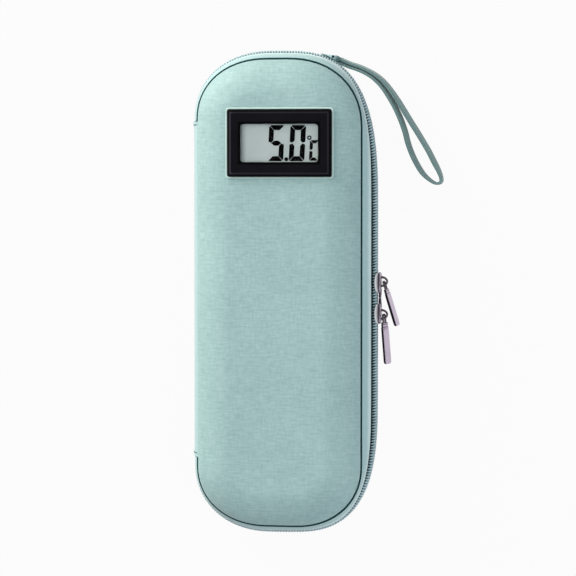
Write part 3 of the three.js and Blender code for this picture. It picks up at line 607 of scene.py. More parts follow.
def circle(count, radius=1.0, x=0.0, y=0.0):
    turns = [2 * math.pi * k / count for k in range(count)]
    return [(x + radius * math.cos(turn), y + radius * math.sin(turn)) for turn in turns]


def bend(value, power):
    return math.copysign(abs(value) ** (2 / power), value)


def leaf(halfWidth, halfLength, power=2.4, count=40):
    return [(bend(c, power) * halfWidth, bend(s, power) * halfLength) for c, s in circle(count)]


def boxOf(node):
    return [corner * 1000 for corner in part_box(node)]


def moved(part, change):
    return {**part, "points": [change(Vector(point)) for point in part["points"]]}


# case outlines: rounded rectangles, walked clockwise from the left side's top

caseForm = {
    "midHeight": 20.0, "seamHeight": 11.0,
    # corners as (reach, rise, power)
    "zip": {"width": 79.1, "length": 205.8, "shift": 1.55,
            "left": (33.0, 29.4, 2.15), "upper": (40.0, 66.0, 2.8), "lower": (40.0, 60.0, 3.0)},
    "panel": {"width": 70.0, "length": 197.8, "shift": 0.2,
              "left": (30.0, 25.5, 2.15), "upper": (31.0, 29.0, 2.15), "lower": (28.0, 26.0, 2.15)},
    "shoulderWidth": 15.0, "shoulderHeight": 9.0,
    "outerPower": 1.72, "innerPower": 2.0,   # the outside is flatter than the inside
    "spineTop": 72.6, "spineFoot": -70.0, "cornerSteps": 18, "endSteps": 6, "sideSteps": 40,
    "leastCorner": 0.4, "tapeMargin": 0.3, "tapeStart": 0.5,
}


def grown(form, distance):
    bigger = {**form, "width": form["width"] + 2 * distance, "length": form["length"] + 2 * distance}
    for corner in ("left", "upper", "lower"):
        reach, rise, power = form[corner]
        bigger[corner] = (reach + distance, rise + distance, power)
    return bigger


def mixed(first, second, share):
    def between(a, b):
        return tuple(map(between, a, b)) if isinstance(a, tuple) else a + (b - a) * share
    return {key: between(first[key], second[key]) for key in first}


def cornerPoint(form, sideX, sideY, turn):
    reach, rise, power = form["left" if sideX < 0 else "upper" if sideY > 0 else "lower"]
    reach, rise = max(reach, caseForm["leastCorner"]), max(rise, caseForm["leastCorner"])
    return (form["shift"] + sideX * (form["width"] / 2 - reach) + reach * bend(math.cos(turn), power),
            sideY * (form["length"] / 2 - rise) + rise * bend(math.sin(turn), power))


def outlineOf(form, grow=0.0):
    form, steps = grown(form, grow), caseForm["cornerSteps"]
    ends, sides = caseForm["endSteps"], caseForm["sideSteps"]
    corners = ((-1, 1, 180, ends), (1, 1, 90, sides), (1, -1, 0, ends), (-1, -1, -90, sides))
    arcs = []
    for sideX, sideY, start, between in corners:
        turns = [math.radians(start - 90 * step / steps) for step in range(steps + 1)]
        arcs.append([cornerPoint(form, sideX, sideY, turn) for turn in turns])
    points = []
    for arc, following, (*_, between) in zip(arcs, arcs[1:] + arcs[:1], corners):
        end, nextStart = Vector(arc[-1]), Vector(following[0])
        points += arc + [tuple(end.lerp(nextStart, step / between)) for step in range(1, between)]
    return points


def zipRun(form, grow=0.0):
    closed, margin = outlineOf(form, grow), caseForm["tapeMargin"]
    left, start = closed[0]
    run = closed[:len(closed) - caseForm["sideSteps"] + 1]
    head = (left, min(caseForm["spineTop"] + margin, start - caseForm["tapeStart"]))
    return [head] + run + [(left, caseForm["spineFoot"] - margin)]


def atHeight(points, side, height):
    return [(x, y, caseForm["midHeight"] + side * height) for x, y in points]


def panelLine(inset):
    return outlineOf(caseForm["panel"], -inset)


def shoulderRings(depth, side, steps, start=0.0):
    rings, uvs, walked, before = [], [], 0.0, None
    wide, tall = caseForm["shoulderWidth"], caseForm["shoulderHeight"]
    power = 2 / caseForm["innerPower" if depth else "outerPower"]
    for step in range(steps, -1, -1):
        angle = math.radians(start + (90 - start) * step / steps)
        inset = wide - (wide - depth) * max(math.cos(angle), 0.0) ** power
        rise = (tall - depth) * math.sin(angle) ** power
        if before:
            walked += math.hypot(inset - before[0], rise - before[1])
        before = (inset, rise)
        rings.append(atHeight(panelLine(inset), side, caseForm["seamHeight"] + rise))
        uvs.append(panelLine(wide - walked))
    return rings[::-1], uvs[::-1]


# padded panels

panelForm = {"skin": 4.6, "steps": 20, "innerSteps": 8, "startAngle": 12.0,
             "crownInsets": [15.6, 17.0, 20.0, 24.5],
             # edge that rolls down into the seam, as (inset, height) from the inside out
             "edgeRoll": [(2.4, 10.25), (1.5, 10.2), (0.85, 10.45), (0.5, 11.05), (0.36, 11.7), (0.37, 12.4)],
             "rollCloth": 4.4, "rollStep": 0.6}


def buildPanel(side, half, body):
    f = panelForm
    outer, outerUvs = shoulderRings(0.0, side, f["steps"], f["startAngle"])
    inner, innerUvs = shoulderRings(f["skin"], side, f["innerSteps"])
    rolled = [atHeight(panelLine(inset), side, height) for inset, height in f["edgeRoll"]]
    rolledUvs = [panelLine(f["rollStep"] * k - f["rollCloth"]) for k in range(len(rolled))]
    crownUvs = [panelLine(inset) for inset in f["crownInsets"]]
    crown = [atHeight(line, side, caseForm["midHeight"]) for line in crownUvs]
    part = loft(inner[::-1] + rolled + outer + crown, innerUvs[::-1] + rolledUvs + outerUvs + crownUvs)
    piece = makePiece(half + "Panel", [part], "panelLinen", body,
                      [half + "_cover", half + "_foam"], cut=side > 0)


for side, half, body in halves:
    buildPanel(side, half, body)
print("padded panels built")


# side bands with their seam cord, a dark cord that is partly a real seam and partly painted shade in the
# groove

bandForm = {"start": 0.5, "top": 10.9, "edge": 3.3, "bulge": 0.6, "bulgePower": 0.8, "thickness": 1.0,
            # line where the band ends above the coil: well in from it beside the sliders, close elsewhere
            "edgeLine": {"width": 75.4, "length": 203.3, "shift": 0.8, "left": (32.0, 28.5, 2.15),
                         "upper": (38.0, 62.0, 3.05), "lower": (38.0, 57.0, 3.2)},
            "shares": [0.04, 0.1, 0.18, 0.27, 0.36, 0.45, 0.54, 0.63, 0.72, 0.81, 0.88, 0.94, 0.98],
            # depth and lift of the edges in the seam and above the coil
            "seamRoll": [(0.1, -1.0), (0.08, -0.5), (-0.02, -0.16)],
            "zipRoll": [(0.02, -0.02), (0.14, -0.22), (0.5, -0.3)],
            "innerSteps": 6, "clothStep": 0.7, "cordRadius": 0.54, "cordHeight": 10.3}


def bandLine(share, depth, side, lift=0.0):
    f = bandForm
    bulge = f["bulge"] * math.sin(math.pi * share) ** f["bulgePower"]
    height = f["top"] + (f["edge"] - f["top"]) * share
    line = mixed(grown(caseForm["panel"], f["start"]), f["edgeLine"], share)
    return atHeight(zipRun(line, bulge - depth), side, height + lift)


def buildBand(side, half, body):
    f = bandForm
    rings = [bandLine(0.0, depth, side, lift) for depth, lift in f["seamRoll"]]
    rings += [bandLine(share, 0.0, side) for share in f["shares"]]
    rings += [bandLine(1.0, depth, side, lift) for depth, lift in f["zipRoll"]]
    steps = f["innerSteps"]
    rings += [bandLine(step / steps, f["thickness"], side) for step in range(steps, -1, -1)]
    piece = makePiece(half + "Band", [openStrip(rings, f["clothStep"])], "bandLinen", body,
                      [half + "_side_band"])
    # dark cord in the groove: partly seam, partly painted shade
    cord = tube(atHeight(zipRun(caseForm["panel"]), side, f["cordHeight"]), f["cordRadius"])
    makePiece(half + "BandSeamCord", [cord], "seamThread", body)
    return piece


frontBand, backBand = (buildBand(side, half, body) for side, half, body in halves)
print("side bands built")


# spine: one cloth hinge, sewn to both halves

spineForm = {"seamX": -34.85, "reach": 3.15, "thickness": 0.9, "rows": 22, "columns": 60,
             "hem": 0.5, "hemWidth": 2.6, "hemFill": 0.5, "foldX": -38.2, "foldLow": 16.5, "foldHigh": 23.5,
             "stitchIn": 1.4, "stitchRadius": 0.2, "stitchSink": 0.12}


def spineX(y, height):
    f = spineForm
    fromEnd = min(caseForm["spineTop"] - y, y - caseForm["spineFoot"])
    hem = f["hem"] * max(0.0, math.cos(min(fromEnd / f["hemWidth"], 1.0) * math.pi / 2))
    bulge = math.cos(math.pi / 2 * height / bandForm["top"])
    return f["seamX"] - (f["reach"] + hem) * bulge, hem * bulge


def hinged(piece):
    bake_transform(piece)


def buildSpine():
    f, middle = spineForm, caseForm["midHeight"]
    foot, head = caseForm["spineFoot"], caseForm["spineTop"]
    heights = [bandForm["top"] * (2 * row / f["rows"] - 1) for row in range(f["rows"] + 1)]
    rings = []
    for column in range(f["columns"] + 1):
        y = foot + (head - foot) * column / f["columns"]
        spots = [(*spineX(y, height), middle + height) for height in heights]
        outer = [(x, y, z) for x, hem, z in spots]
        inner = [(x + f["thickness"] + hem * f["hemFill"], y, z) for x, hem, z in spots]
        rings.append(outer + inner[::-1])
    widths = lengthsAlong(rings[len(rings) // 2][:len(heights)])
    uvs = [[(ring[0][1], width) for width in widths + widths[::-1]] for ring in rings]
    piece = makePiece("spineCloth", [loft(rings, uvs)], "spineLinen", None,
                      ["front_spine_leaf", "back_spine_leaf"])
    hinged(piece)
    # dark hem stitches, partly real thread and partly the painted shadow line beside the hem
    for name, y in (("upperHemStitch", head - f["stitchIn"]), ("lowerHemStitch", foot + f["stitchIn"])):
        line = [(spineX(y, height)[0] + f["stitchSink"], y, middle + height) for height in heights[1:-1]]
        hinged(makePiece(name, [tube(line, f["stitchRadius"])], "seamThread", None))


buildSpine()
print("spine built")


# zip: tapes and wound coils

zipForm = {"tapeRows": [(2.45, 0.7), (2.45, 1.6), (2.5, 2.2), (2.75, 2.6), (3.75, 2.8)],   # inset and height
           "tapeShares": [0.88, 0.72, 0.55], "tapeGap": 0.25, "tapeThickness": 0.45, "tapeFold": 0.6,
           "clothStep": 1.2, "coilInset": 1.2, "coilHeight": 1.7, "coilRadius": 0.82,
           "wire": 0.33, "wireSides": 6, "pitch": 1.2, "perTurn": 8,
           # filling cords inside the winding, as (name, shift outwards, radius, finish)
           # the inner cord is dark thread: painted shade on the coil's inner side
           "cores": [("OuterCore", 0.34, 0.55, "coreCord"), ("InnerCore", -0.36, 0.62, "seamThread")],
           "coreSteps": 220}


def zipLine(inset, side, height):
    return atHeight(zipRun(caseForm["zip"], -inset), side, height)


def buildTape(side, half, body):
    f = zipForm

    def face(depth):
        rows = [(inset + depth, height - f["tapeFold"] * depth * (k > 0))
                for k, (inset, height) in enumerate(f["tapeRows"])]
        sewn = bandForm["thickness"] + f["tapeGap"] + depth
        return ([zipLine(inset, side, height) for inset, height in rows]
                + [bandLine(share, sewn, side) for share in f["tapeShares"]])
    strip = openStrip(face(0.0) + face(f["tapeThickness"])[::-1], f["clothStep"])
    # tape colour includes painted shade in the gap beside the coil
    makePiece(half + "Tape", [strip], "tapeWeave", body, [half + "_zip_tape"])


def buildCoil(side, half, body):
    f = zipForm
    base = zipLine(f["coilInset"], side, f["coilHeight"])
    turns = int(lengthsAlong(base)[-1] / f["pitch"])
    line = resample(base, turns * f["perTurn"] + 1)
    wound = []
    for i, (point, tangent) in enumerate(zip(line, tangentsOf(line))):
        outward = Vector((-tangent.y, tangent.x, 0)).normalized()
        angle = side * 2 * math.pi * i / f["perTurn"]
        wound.append(point + outward * f["coilRadius"] * math.cos(angle)
                     + Vector((0, 0, f["coilRadius"] * math.sin(angle))))
    makePiece(half + "Coil", [tube(wound, f["wire"], f["wireSides"])], "coilNylon", body,
              [half + "_zip_coil"])
    for name, shift, radius, finish in f["cores"]:
        path = resample(zipLine(f["coilInset"] - shift, side, f["coilHeight"]), f["coreSteps"])
        makePiece(half + "Coil" + name, [tube(path, radius)], finish, body)


for side, half, body in halves:
    buildTape(side, half, body)
    buildCoil(side, half, body)
print("zip wound")


# sliders and pulls; here x points away from the zip, y runs along it

sliderForm = {
    "zipX": 41.1, "upper": (4.3, 1), "lower": (-8.9, -1),   # place along the zip, and the way it faces
    "half": 4.4, "gap": 0.35, "top": 1.45, "flange": 1.45, "wall": 0.62, "round": 2.4,
    "endTall": 2.2, "midTall": 1.75, "endDrop": 0.6, "endGap": 0.15,
    "stations": [0.0, 0.2, 0.4, 0.58, 0.72, 0.83, 0.9, 0.95, 0.98, 1.0],
    # how dark and how bright the outer plate's section is, as painted shade and painted highlight, from the
    # flap's tip to the top
    "tones": [(1.0, 0.0), (0.0, 1.0), (0.0, 1.0), (0.1, 0.85), (1.0, 0.0), (0.6, 0.0), (0.3, 0.0), (0.4, 0.0),
              (0.5, 0.0)],
    "paintedShades": (0.4, 0.75, 1.0, 0.85),   # painted shade of the inner plate, crown, post and nose
    "innerStart": -5.6, "innerHalf": 3.2,
    "innerRows": [(0.0, 0.6), (0.15, 0.25), (0.4, 0.15), (0.75, 0.15), (0.9, 0.35)],   # rise and inset
    "archWire": 0.45, "archFlare": 0.3, "archHalf": 1.85, "archHeight": 2.4, "archSteps": 16,
    "archSink": 0.5, "archSpread": 0.05, "crownOffset": 0.4,
    "postReach": -4.9, "postTop": 0.9, "postIn": 0.7, "postWidth": 2.0, "postHalf": 0.22,
    "nose": [(0.85, -2.8, 0), (0.85, -4.4, 0), (0.8, -5.4, 0), (0.78, -6.55, 0)],
    "noseRadius": 0.72, "noseTaper": 0.14, "sharp": 40.0,
}


def channelRing(share):
    # section of the outer plate, with flanges that reach back over the coils
    f = sliderForm
    swell = (1 - abs(share) ** f["round"]) ** (1 / f["round"])
    inner, top = f["gap"] + f["endGap"] * (1 - swell), f["top"] - f["endDrop"] * (1 - swell)
    tip = inner - 0.05 - f["flange"] * swell
    tall = (f["endTall"] + f["midTall"] * swell) * (1 - 0.5 * max(0.0, (abs(share) - 0.9) / 0.1) ** 2)
    flap = tall - f["wall"] * min(1.0, tall / 2)
    upper = [(tip, flap), (tip - 0.04, (flap + tall) / 2), (tip + 0.14, tall),
             (tip + 0.2 + 0.4 * swell, tall), ((tip + top) / 2 + 0.3 * swell, tall - 0.02),
             (top - 0.3, tall * 0.94), (top - 0.06, tall * 0.8), (top, tall * 0.5), (top, tall * 0.2)]
    lower = [(x, -z) for x, z in upper[::-1]]
    return [(x, share * f["half"], z) for x, z in upper + lower + [(inner, -flap), (inner, flap)]]


def buildSlider(half):
    f = sliderForm
    centreY, facing = f[half]
    stations = [-share for share in f["stations"][:0:-1]] + f["stations"]
    channel = loft([channelRing(share) for share in stations])
    # painted shade and painted highlight along each ring of the outer plate
    tones = f["tones"] + f["tones"][::-1] + [(1.0, 0.0)] * 2
    channel["uvs"] = tones * len(stations)
    innerPlate = loft([[(f["innerStart"] + rise, along, across) for across, along in
                        leaf(f["innerHalf"] - inset, f["half"] - inset)] for rise, inset in f["innerRows"]])
    sunk, foot = f["top"] - f["archSink"], f["archHalf"] + f["archSpread"]
    turns = [math.pi * step / f["archSteps"] for step in range(f["archSteps"] + 1)]
    arch = [(f["top"] + f["archHeight"] * math.sin(turn), -f["archHalf"] * math.cos(turn), 0)
            for turn in turns]
    crown = tube(smoothLine([(sunk, -foot, 0), *arch, (sunk, foot, 0)], 2),
                 lambda share: f["archWire"] * (1 + f["archFlare"] * abs(2 * share - 1) ** 3), sides=10)
    crown = moved(crown, lambda p: Vector((p.x, p.y + f["crownOffset"], p.z)))
    low, high, near = f["postReach"], f["postTop"], f["postIn"] - f["half"]
    far = near + f["postWidth"]
    post = slabPart([(low, near), (high, near), (high, far), (low, far)], -f["postHalf"], f["postHalf"])
    nose = tube(f["nose"], lambda share: f["noseRadius"] - f["noseTaper"] * share, sides=10)
    trim = (innerPlate, crown, post, nose)
    # each trim part gets one level of painted shade
    for part, shade in zip(trim, f["paintedShades"]):
        part["uvs"] = [(shade, 0.0)] * len(part["points"])

    def change(p):
        return Vector((f["zipX"] + p.x, centreY + facing * p.y, caseForm["midHeight"] + facing * p.z))
    makePiece(half + "SliderBody", [moved(part, change) for part in (channel, *trim)], "pullMetal",
              half + "_slider", [half + "_slider"], f["sharp"])


pullForm = {
    "upper": {"reach": 19.6, "swing": 17.0, "turn": 72.0},
    "lower": {"reach": 21.1, "swing": 4.5, "turn": 58.0},
    "pivot": 2.45, "width": 4.0, "thickness": 1.3, "plateStart": -3.9, "eyeWidth": 2.3, "eyeWire": 0.42,
    "eyeTail": 0.3, "eyeBend": 0.9, "eyeShoulder": (0.8, 0.18), "plateOverlap": 0.6, "plateRound": 7.0,
    # distance from the plate's start or end, and shares of width and thickness
    "neck": [(0.0, 0.7, 0.6), (0.12, 0.86, 0.8), (0.7, 0.9, 0.86), (0.8, 0.84, 0.76), (1.0, 0.84, 0.76),
             (1.1, 0.92, 0.9), (1.7, 0.92, 0.9), (1.8, 0.86, 0.8), (2.0, 0.86, 0.8), (2.15, 0.97, 0.97),
             (6.0, 1.0, 1.0)],
    "tip": [(1.6, 1.0, 1.0), (0.8, 0.97, 0.98), (0.35, 0.86, 0.9), (0.1, 0.68, 0.74), (0.0, 0.5, 0.5)],
    "eyePaintedShade": 0.8, "groovePaintedShade": 0.75, "grooveShare": 0.85,   # painted shade on the eye and in the grooves; neck rows thinner than this share are grooves
    # the plate's side edges are darkened as painted shade
    "rimStart": 0.9, "rimWidth": 0.08,
}


def buildPull(half):
    f, setup = pullForm, pullForm[half]
    centreY, facing = sliderForm[half]
    side, tail = f["eyeWidth"] / 2 - f["eyeWire"], f["plateStart"] + f["eyeTail"]
    wide, drop = f["eyeShoulder"]
    leg = [(side, tail, 0), (side, -f["eyeBend"], 0), (side * wide, -drop, 0)]
    eye = [(-x, y, z) for x, y, z in leg] + [(0, 0.0, 0)] + leg[::-1]
    eyeLoop = tube(smoothLine(eye, 4), f["eyeWire"], sides=10)
    eyeLoop["uvs"] = [(f["eyePaintedShade"], 0.0)] * len(eyeLoop["points"])
    start, end = f["plateStart"] + f["plateOverlap"], -setup["reach"]
    rows = [(start - far, wide, thick, thick < f["grooveShare"]) for far, wide, thick in f["neck"]]
    rows += [(end + far, wide, thick, False) for far, wide, thick in f["tip"]]
    rings, tones = [], []
    for along, wide, thick, grooved in rows:
        width = f["width"] / 2 * wide
        ring = leaf(width, f["thickness"] / 2 * thick, f["plateRound"], count=48)
        rings.append([(x, along, z) for x, z in ring])
        # tones hold painted shade on the side edges and in the grooves
        least = f["groovePaintedShade"] if grooved else 0.0
        rims = [(abs(x) / width - f["rimStart"]) / f["rimWidth"] for x, z in ring]
        tones.append([(max(least, min(1.0, rim)), 0.0) for rim in rims])
    a, b = math.radians(setup["turn"]), math.radians(setup["swing"])

    def change(p):
        x, z = p.x * math.cos(a) + p.z * math.sin(a), -p.x * math.sin(a) + p.z * math.cos(a)
        x, y = x * math.cos(b) - p.y * math.sin(b), x * math.sin(b) + p.y * math.cos(b)
        return Vector((sliderForm["zipX"] + f["pivot"] + x, centreY + facing * sliderForm["crownOffset"] + y,
                       caseForm["midHeight"] + z))
    makePiece(half + "PullTag", [moved(part, change) for part in (eyeLoop, loft(rings, tones))], "pullMetal",
              half + "_pull", [half + "_pull"], sliderForm["sharp"])


for build in (buildSlider, buildPull):
    for half in ("upper", "lower"):
        build(half)
print("sliders and pulls built")


# wrist strap and its tab

strapForm = {"width": 5.0, "thickness": 1.2, "perSpan": 4, "edgeRound": 6.0, "edgeSteps": 24,
             # lean of the band out of the upright, as (share of the length, degrees): towards the case
             "lean": [(0.0, 7.0), (0.1, 9.0), (0.25, 16.0), (0.44, 15.0), (0.51, 0.0), (0.57, -13.0),
                      (0.75, -15.0), (0.9, -9.0), (1.0, -7.0)],
             "route": [
    (24.0, 99.4, 13.0), (28.2, 97.5, 12.3), (31.6, 96.4, 11.7), (34.8, 95.0, 11.2), (37.9, 93.3, 10.6),
    (40.9, 91.1, 10.0), (43.5, 88.3, 9.4), (45.8, 85.2, 8.9), (47.9, 82.1, 8.4), (49.7, 79.1, 7.9),
    (53.1, 73.4, 6.9), (56.9, 67.2, 5.9), (60.8, 60.5, 4.9), (63.2, 55.7, 4.1), (65.0, 52.1, 3.6),
    (66.2, 49.0, 3.2), (66.1, 46.9, 2.9), (64.2, 46.3, 3.2), (61.4, 47.8, 3.6), (58.0, 51.2, 4.2),
    (54.7, 57.1, 5.1), (52.4, 63.1, 6.0), (51.1, 68.3, 6.7), (49.4, 73.4, 7.5), (47.1, 78.6, 8.3),
    (44.6, 83.0, 9.0), (41.7, 87.4, 9.8), (38.1, 91.1, 10.5), (34.6, 93.4, 11.2), (31.0, 95.0, 11.8),
    (27.4, 96.2, 12.4), (23.4, 98.0, 13.0)]}


def leanAt(share):
    for (before, first), (after, second) in zip(strapForm["lean"], strapForm["lean"][1:]):
        if share <= after:
            return math.radians(first + (second - first) * (share - before) / (after - before))


def buildStrap():
    f = strapForm
    line = smoothLine(f["route"], f["perSpan"])
    far = lengthsAlong(line)
    section = leaf(f["thickness"] / 2, f["width"] / 2, f["edgeRound"], f["edgeSteps"])
    rings, uvs = [], []
    for point, tangent, walked in zip(line, tangentsOf(line), far):
        across = Vector((-tangent.y, tangent.x, 0)).normalized()
        lean = leanAt(walked / far[-1])
        tall = Vector((0, 0, math.cos(lean))) - across * math.sin(lean)
        thin = across * math.cos(lean) + Vector((0, 0, math.sin(lean)))
        rings.append([point + thin * a + tall * b for a, b in section])
        uvs.append([(walked, b + a) for a, b in section])
    piece = makePiece("strapBand", [loft(rings, uvs)], "strapWeave", "case", ["wrist_strap"])


tabForm = {"start": 15.0, "end": 24.0, "steps": 14, "thin": 0.4, "thick": 2.0, "depth": 3.4,
           "low": 10.7, "top": 22.4, "shelf": 16.8, "lip": 0.3, "soft": 0.18, "endSoft": 0.45,
           "clothLength": 8.5,
           "root": {"start": 23.4, "end": 25.7, "steps": 6, "outs": (-0.9, 1.9), "low": 11.0, "top": 15.6,
                    "bevel": 0.3},
           "rivet": {"angle": 22.9, "out": 1.0, "radius": 0.42, "wire": 0.14, "lift": 0.06,
                     "plug": (-0.2, 0.03)}}


def tabSpot(angle, out, z):
    return (*cornerPoint(grown(caseForm["zip"], out), 1, 1, math.radians(90 - angle)), z)


def buildTab():
    f = tabForm
    low, top, shelf, lip = f["low"], f["top"], f["shelf"], f["lip"]
    rings, uvs = [], []
    for step in range(f["steps"] + 1):
        share = step / f["steps"]
        out = f["thin"] + (f["thick"] - f["thin"]) * share * share
        deep = out - f["depth"] * share - f["thin"] * (1 - share)
        soft = min(f["soft"] if 0 < step < f["steps"] else f["endSoft"], (out - lip) * 0.4)
        section = [(deep, low + soft), (deep + soft, low), (out - soft, low), (out, low + soft),
                   (out, top - soft), (out - soft, top), (lip + soft * 0.5, top), (lip, top - soft),
                   (lip, shelf + 0.1), (lip - 0.05, shelf), (deep + soft, shelf), (deep, shelf - soft)]
        angle = f["start"] + (f["end"] - f["start"]) * share
        rings.append([tabSpot(angle, o, z) for o, z in section])
        uvs.append([(share * f["clothLength"], o + z) for o, z in section])
    makePiece("strapTab", [loft(rings, uvs)], "spineLinen", "case", ["strap_tab"])


def buildRoot():
    f = tabForm["root"]
    (inner, outer), low, top, bevel = f["outs"], f["low"], f["top"], f["bevel"]
    section = [(inner, low), (outer, low), (outer, top - bevel), (outer - bevel, top), (inner + bevel, top),
               (inner, top - bevel)]
    angles = [f["start"] + (f["end"] - f["start"]) * step / f["steps"] for step in range(f["steps"] + 1)]
    rings = [[tabSpot(angle, out, z) for out, z in section] for angle in angles]
    makePiece("strapRoot", [loft(rings)], "strapWeave", "case")


def buildRivet():
    f = tabForm["rivet"]
    x, y, z = tabSpot(f["angle"], f["out"], tabForm["top"])
    around = circle(20, f["radius"], x, y)
    eyelet = tube([(*point, z + f["lift"]) for point in around], f["wire"], closed=True)
    plug = slabPart(around, *(z + height for height in f["plug"]))
    makePiece("tabRivet", [eyelet, plug], "blackPlastic", "case")


for build in (buildStrap, buildTab, buildRoot, buildRivet):
    build()
print("strap laid")


# readout: slanted bars on the display glass, with a welt round the frame whose pale colour is a painted
# highlight

digitForm = {"gap": 0.07, "cut": 0.38, "joint": 0.55, "tip": 0.3, "foot": 0.3, "footGap": 0.16,
             "slant": 0.055, "thickness": 0.05, "lift": 0.02,
             # figures as centre, width, height, width of a bar and the bars that are lit
             "figures": [
                 ((-1.33, -0.05), 6.65, 15.1, 2.1, "top upperLeft middle lowerRight bottom"),
                 ((7.65, -0.05), 6.65, 15.1, 2.1, "top upperLeft upperRight lowerLeft lowerRight bottom"),
                 ((14.7, -3.1), 3.9, 8.6, 1.35, "top upperLeft lowerLeft bottom")],
             "dot": (2.95, -6.75, 0.85), "degree": (12.7, 2.2, 0.95), "degreeHole": 0.42}


def barsOf(centre, width, height, bar, lit):
    f, w, h = digitForm, width / 2, height / 2
    gap, cut, joint = f["gap"], bar * f["cut"], bar * f["joint"]
    inner = -w + bar + joint * f["tip"]
    end = [(-w + cut, h), (-w + cut / 2 + gap, h - cut / 2 + gap), (-w + bar + gap, h - bar)]
    tip = [(inner, -bar / 2), (-w + joint, 0), (inner, bar / 2)]
    upright = [(-w, h - cut), (-w + cut / 2 - gap, h - cut / 2 - gap), (-w + bar, h - bar - gap),
               (-w + bar, bar / 2 + gap), (-w + joint, f["footGap"]), (-w, bar * f["foot"])]

    def flipped(points, flipX, flipY):
        return [(flipX * x, flipY * y) for x, y in points]
    flat = {"top": end + flipped(end[::-1], -1, 1), "middle": tip + flipped(tip[::-1], -1, 1)}
    shapes = {**flat, "bottom": flipped(flat["top"], 1, -1),
              "upperLeft": upright, "upperRight": flipped(upright, -1, 1),
              "lowerLeft": flipped(upright, 1, -1), "lowerRight": flipped(upright, -1, -1)}
    return [[(centre[0] + x + f["slant"] * y, centre[1] + y) for x, y in shapes[name]]
            for name in lit.split()]


def buildReadout():
    f = digitForm
    low, high = boxOf("lcd_panel")
    middleX, middleY, base = (low.x + high.x) / 2, (low.y + high.y) / 2, high.z + f["lift"]
    outlines = [outline for figure in f["figures"] for outline in barsOf(*figure)]
    dotX, dotY, dotRadius = f["dot"]
    outlines.append(circle(20, dotRadius, dotX, dotY))
    parts = [slabPart([(middleX + x, middleY + y) for x, y in outline], base, base + f["thickness"])
             for outline in outlines]
    x, y, outer = f["degree"]
    rings = []
    for reach, lift in ((1, 0), (1, f["thickness"]), (f["degreeHole"], f["thickness"]), (f["degreeHole"], 0)):
        rings.append([(*point, base + lift) for point in circle(24, outer * reach, middleX + x, middleY + y)])
    parts.append(loft(rings, ends="joined"))
    makePiece("readoutBars", parts, "segmentInk", "lid", sharp=30.0)


weltForm = {"gap": 0.06, "radius": 0.42, "corner": 1.0, "lift": 0.1, "steps": 6, "sides": 10}


def buildWelt():
    f = weltForm
    low, high = boxOf("display_bezel")
    inset, height = f["corner"] - f["gap"] - f["radius"], 2 * caseForm["midHeight"] + f["lift"]
    line = []
    for sideX, sideY, start in ((1, 1, 0), (-1, 1, 90), (-1, -1, 180), (1, -1, 270)):
        x = high.x - inset if sideX > 0 else low.x + inset
        y = high.y - inset if sideY > 0 else low.y + inset
        for step in range(f["steps"] + 1):
            angle = math.radians(start + 90 * step / f["steps"])
            line.append((x + f["corner"] * math.cos(angle), y + f["corner"] * math.sin(angle), height))
    # welt drawn pale as a painted highlight round the frame
    makePiece("frameWelt", [tube(line, f["radius"], f["sides"], True)], "weltLinen", "lid")


buildReadout()
buildWelt()


# pieces that keep the shape of their solids: width of the softened edges and nodes for each finish

dressForm = {
    "bezelPlastic": (0.1, ["display_bezel"]),
    "clearLens": (0.0, ["display_window"]),
    "lcdGlass": (0.0, ["lcd_panel"]),
    "blackPlastic": (0.1, ["module_housing", "battery_door"]),
    "circuitLacquer": (0.0, ["circuit_board"]),
    "pottingResin": (0.0, ["controller_chip", "temperature_sensor"]),
    "zebraRubber": (0.0, ["upper_zebra_strip", "lower_zebra_strip"]),
    "cellSteel": (0.0, ["left_button_cell", "right_button_cell"]),
    "contactBrass": (0.0, ["left_cell_contact", "right_cell_contact", "cell_link"]),
    "boardLinen": (0.5, ["pen_board"]),
}
edgeForm = {"segments": 2, "angle": 35.0}


def dress(piece, finish, bevel):
    piece.data.materials.clear()
    piece.data.materials.append(finishes[finish])
    if bevel:
        edge = piece.modifiers.new("softEdge", "BEVEL")
        edge.width, edge.segments = mm(bevel), edgeForm["segments"]
        edge.limit_method, edge.angle_limit = "ANGLE", math.radians(edgeForm["angle"])


for finish, (bevel, names) in dressForm.items():
    for name in names:
        dress(nodes[name], finish, bevel)
print("thermometer dressed")


# linings: crinkled silver film with a bound rim

liningForm = {"depth": 4.8, "thickness": 1.0, "outerSteps": 6, "steps": 9, "smoothRings": 2,
              "crinkle": 0.12, "crinkleScale": 0.22, "crownStart": 15.8, "crownStep": 2.2, "crownRings": 9,
              # section of the rim's binding, as (inset, height)
              "binding": [(1.15, 10.85), (1.3, 10.5), (3.6, 10.42), (6.0, 10.5), (6.25, 10.85), (6.2, 11.9),
                          (5.85, 11.9), (5.8, 10.95)], "bindingStep": 1.5}


def buildLining(side, half, body):
    f = liningForm
    outer, _ = shoulderRings(f["depth"], side, f["outerSteps"])
    inner, _ = shoulderRings(f["depth"] + f["thickness"], side, f["steps"])
    insets = [f["crownStart"] + f["crownStep"] * k for k in range(f["crownRings"])]
    height = caseForm["midHeight"] - f["depth"] - f["thickness"]
    crown = [atHeight(panelLine(inset), side, height) for inset in insets]

    def wrinkle(x, y, z):
        lift = 0.5 + 0.5 * noise.noise(Vector((x, y, z)) * f["crinkleScale"])
        return (x, y, z - side * f["crinkle"] * lift)
    wrinkled = [[wrinkle(*point) for point in ring] for ring in inner[f["smoothRings"]:] + crown]
    makePiece(half + "Lining", [loft(outer[::-1] + inner[:f["smoothRings"]] + wrinkled)], "foilFilm", body,
              [half + "_lining"], cut=side > 0)
    rings = [atHeight(panelLine(inset), side, height) for inset, height in f["binding"]]
    uvs = clothAlong(rings[2], f["bindingStep"], len(rings))
    makePiece(half + "RimBinding", [loft(rings, uvs, "joined")], "bindingWeave", body)


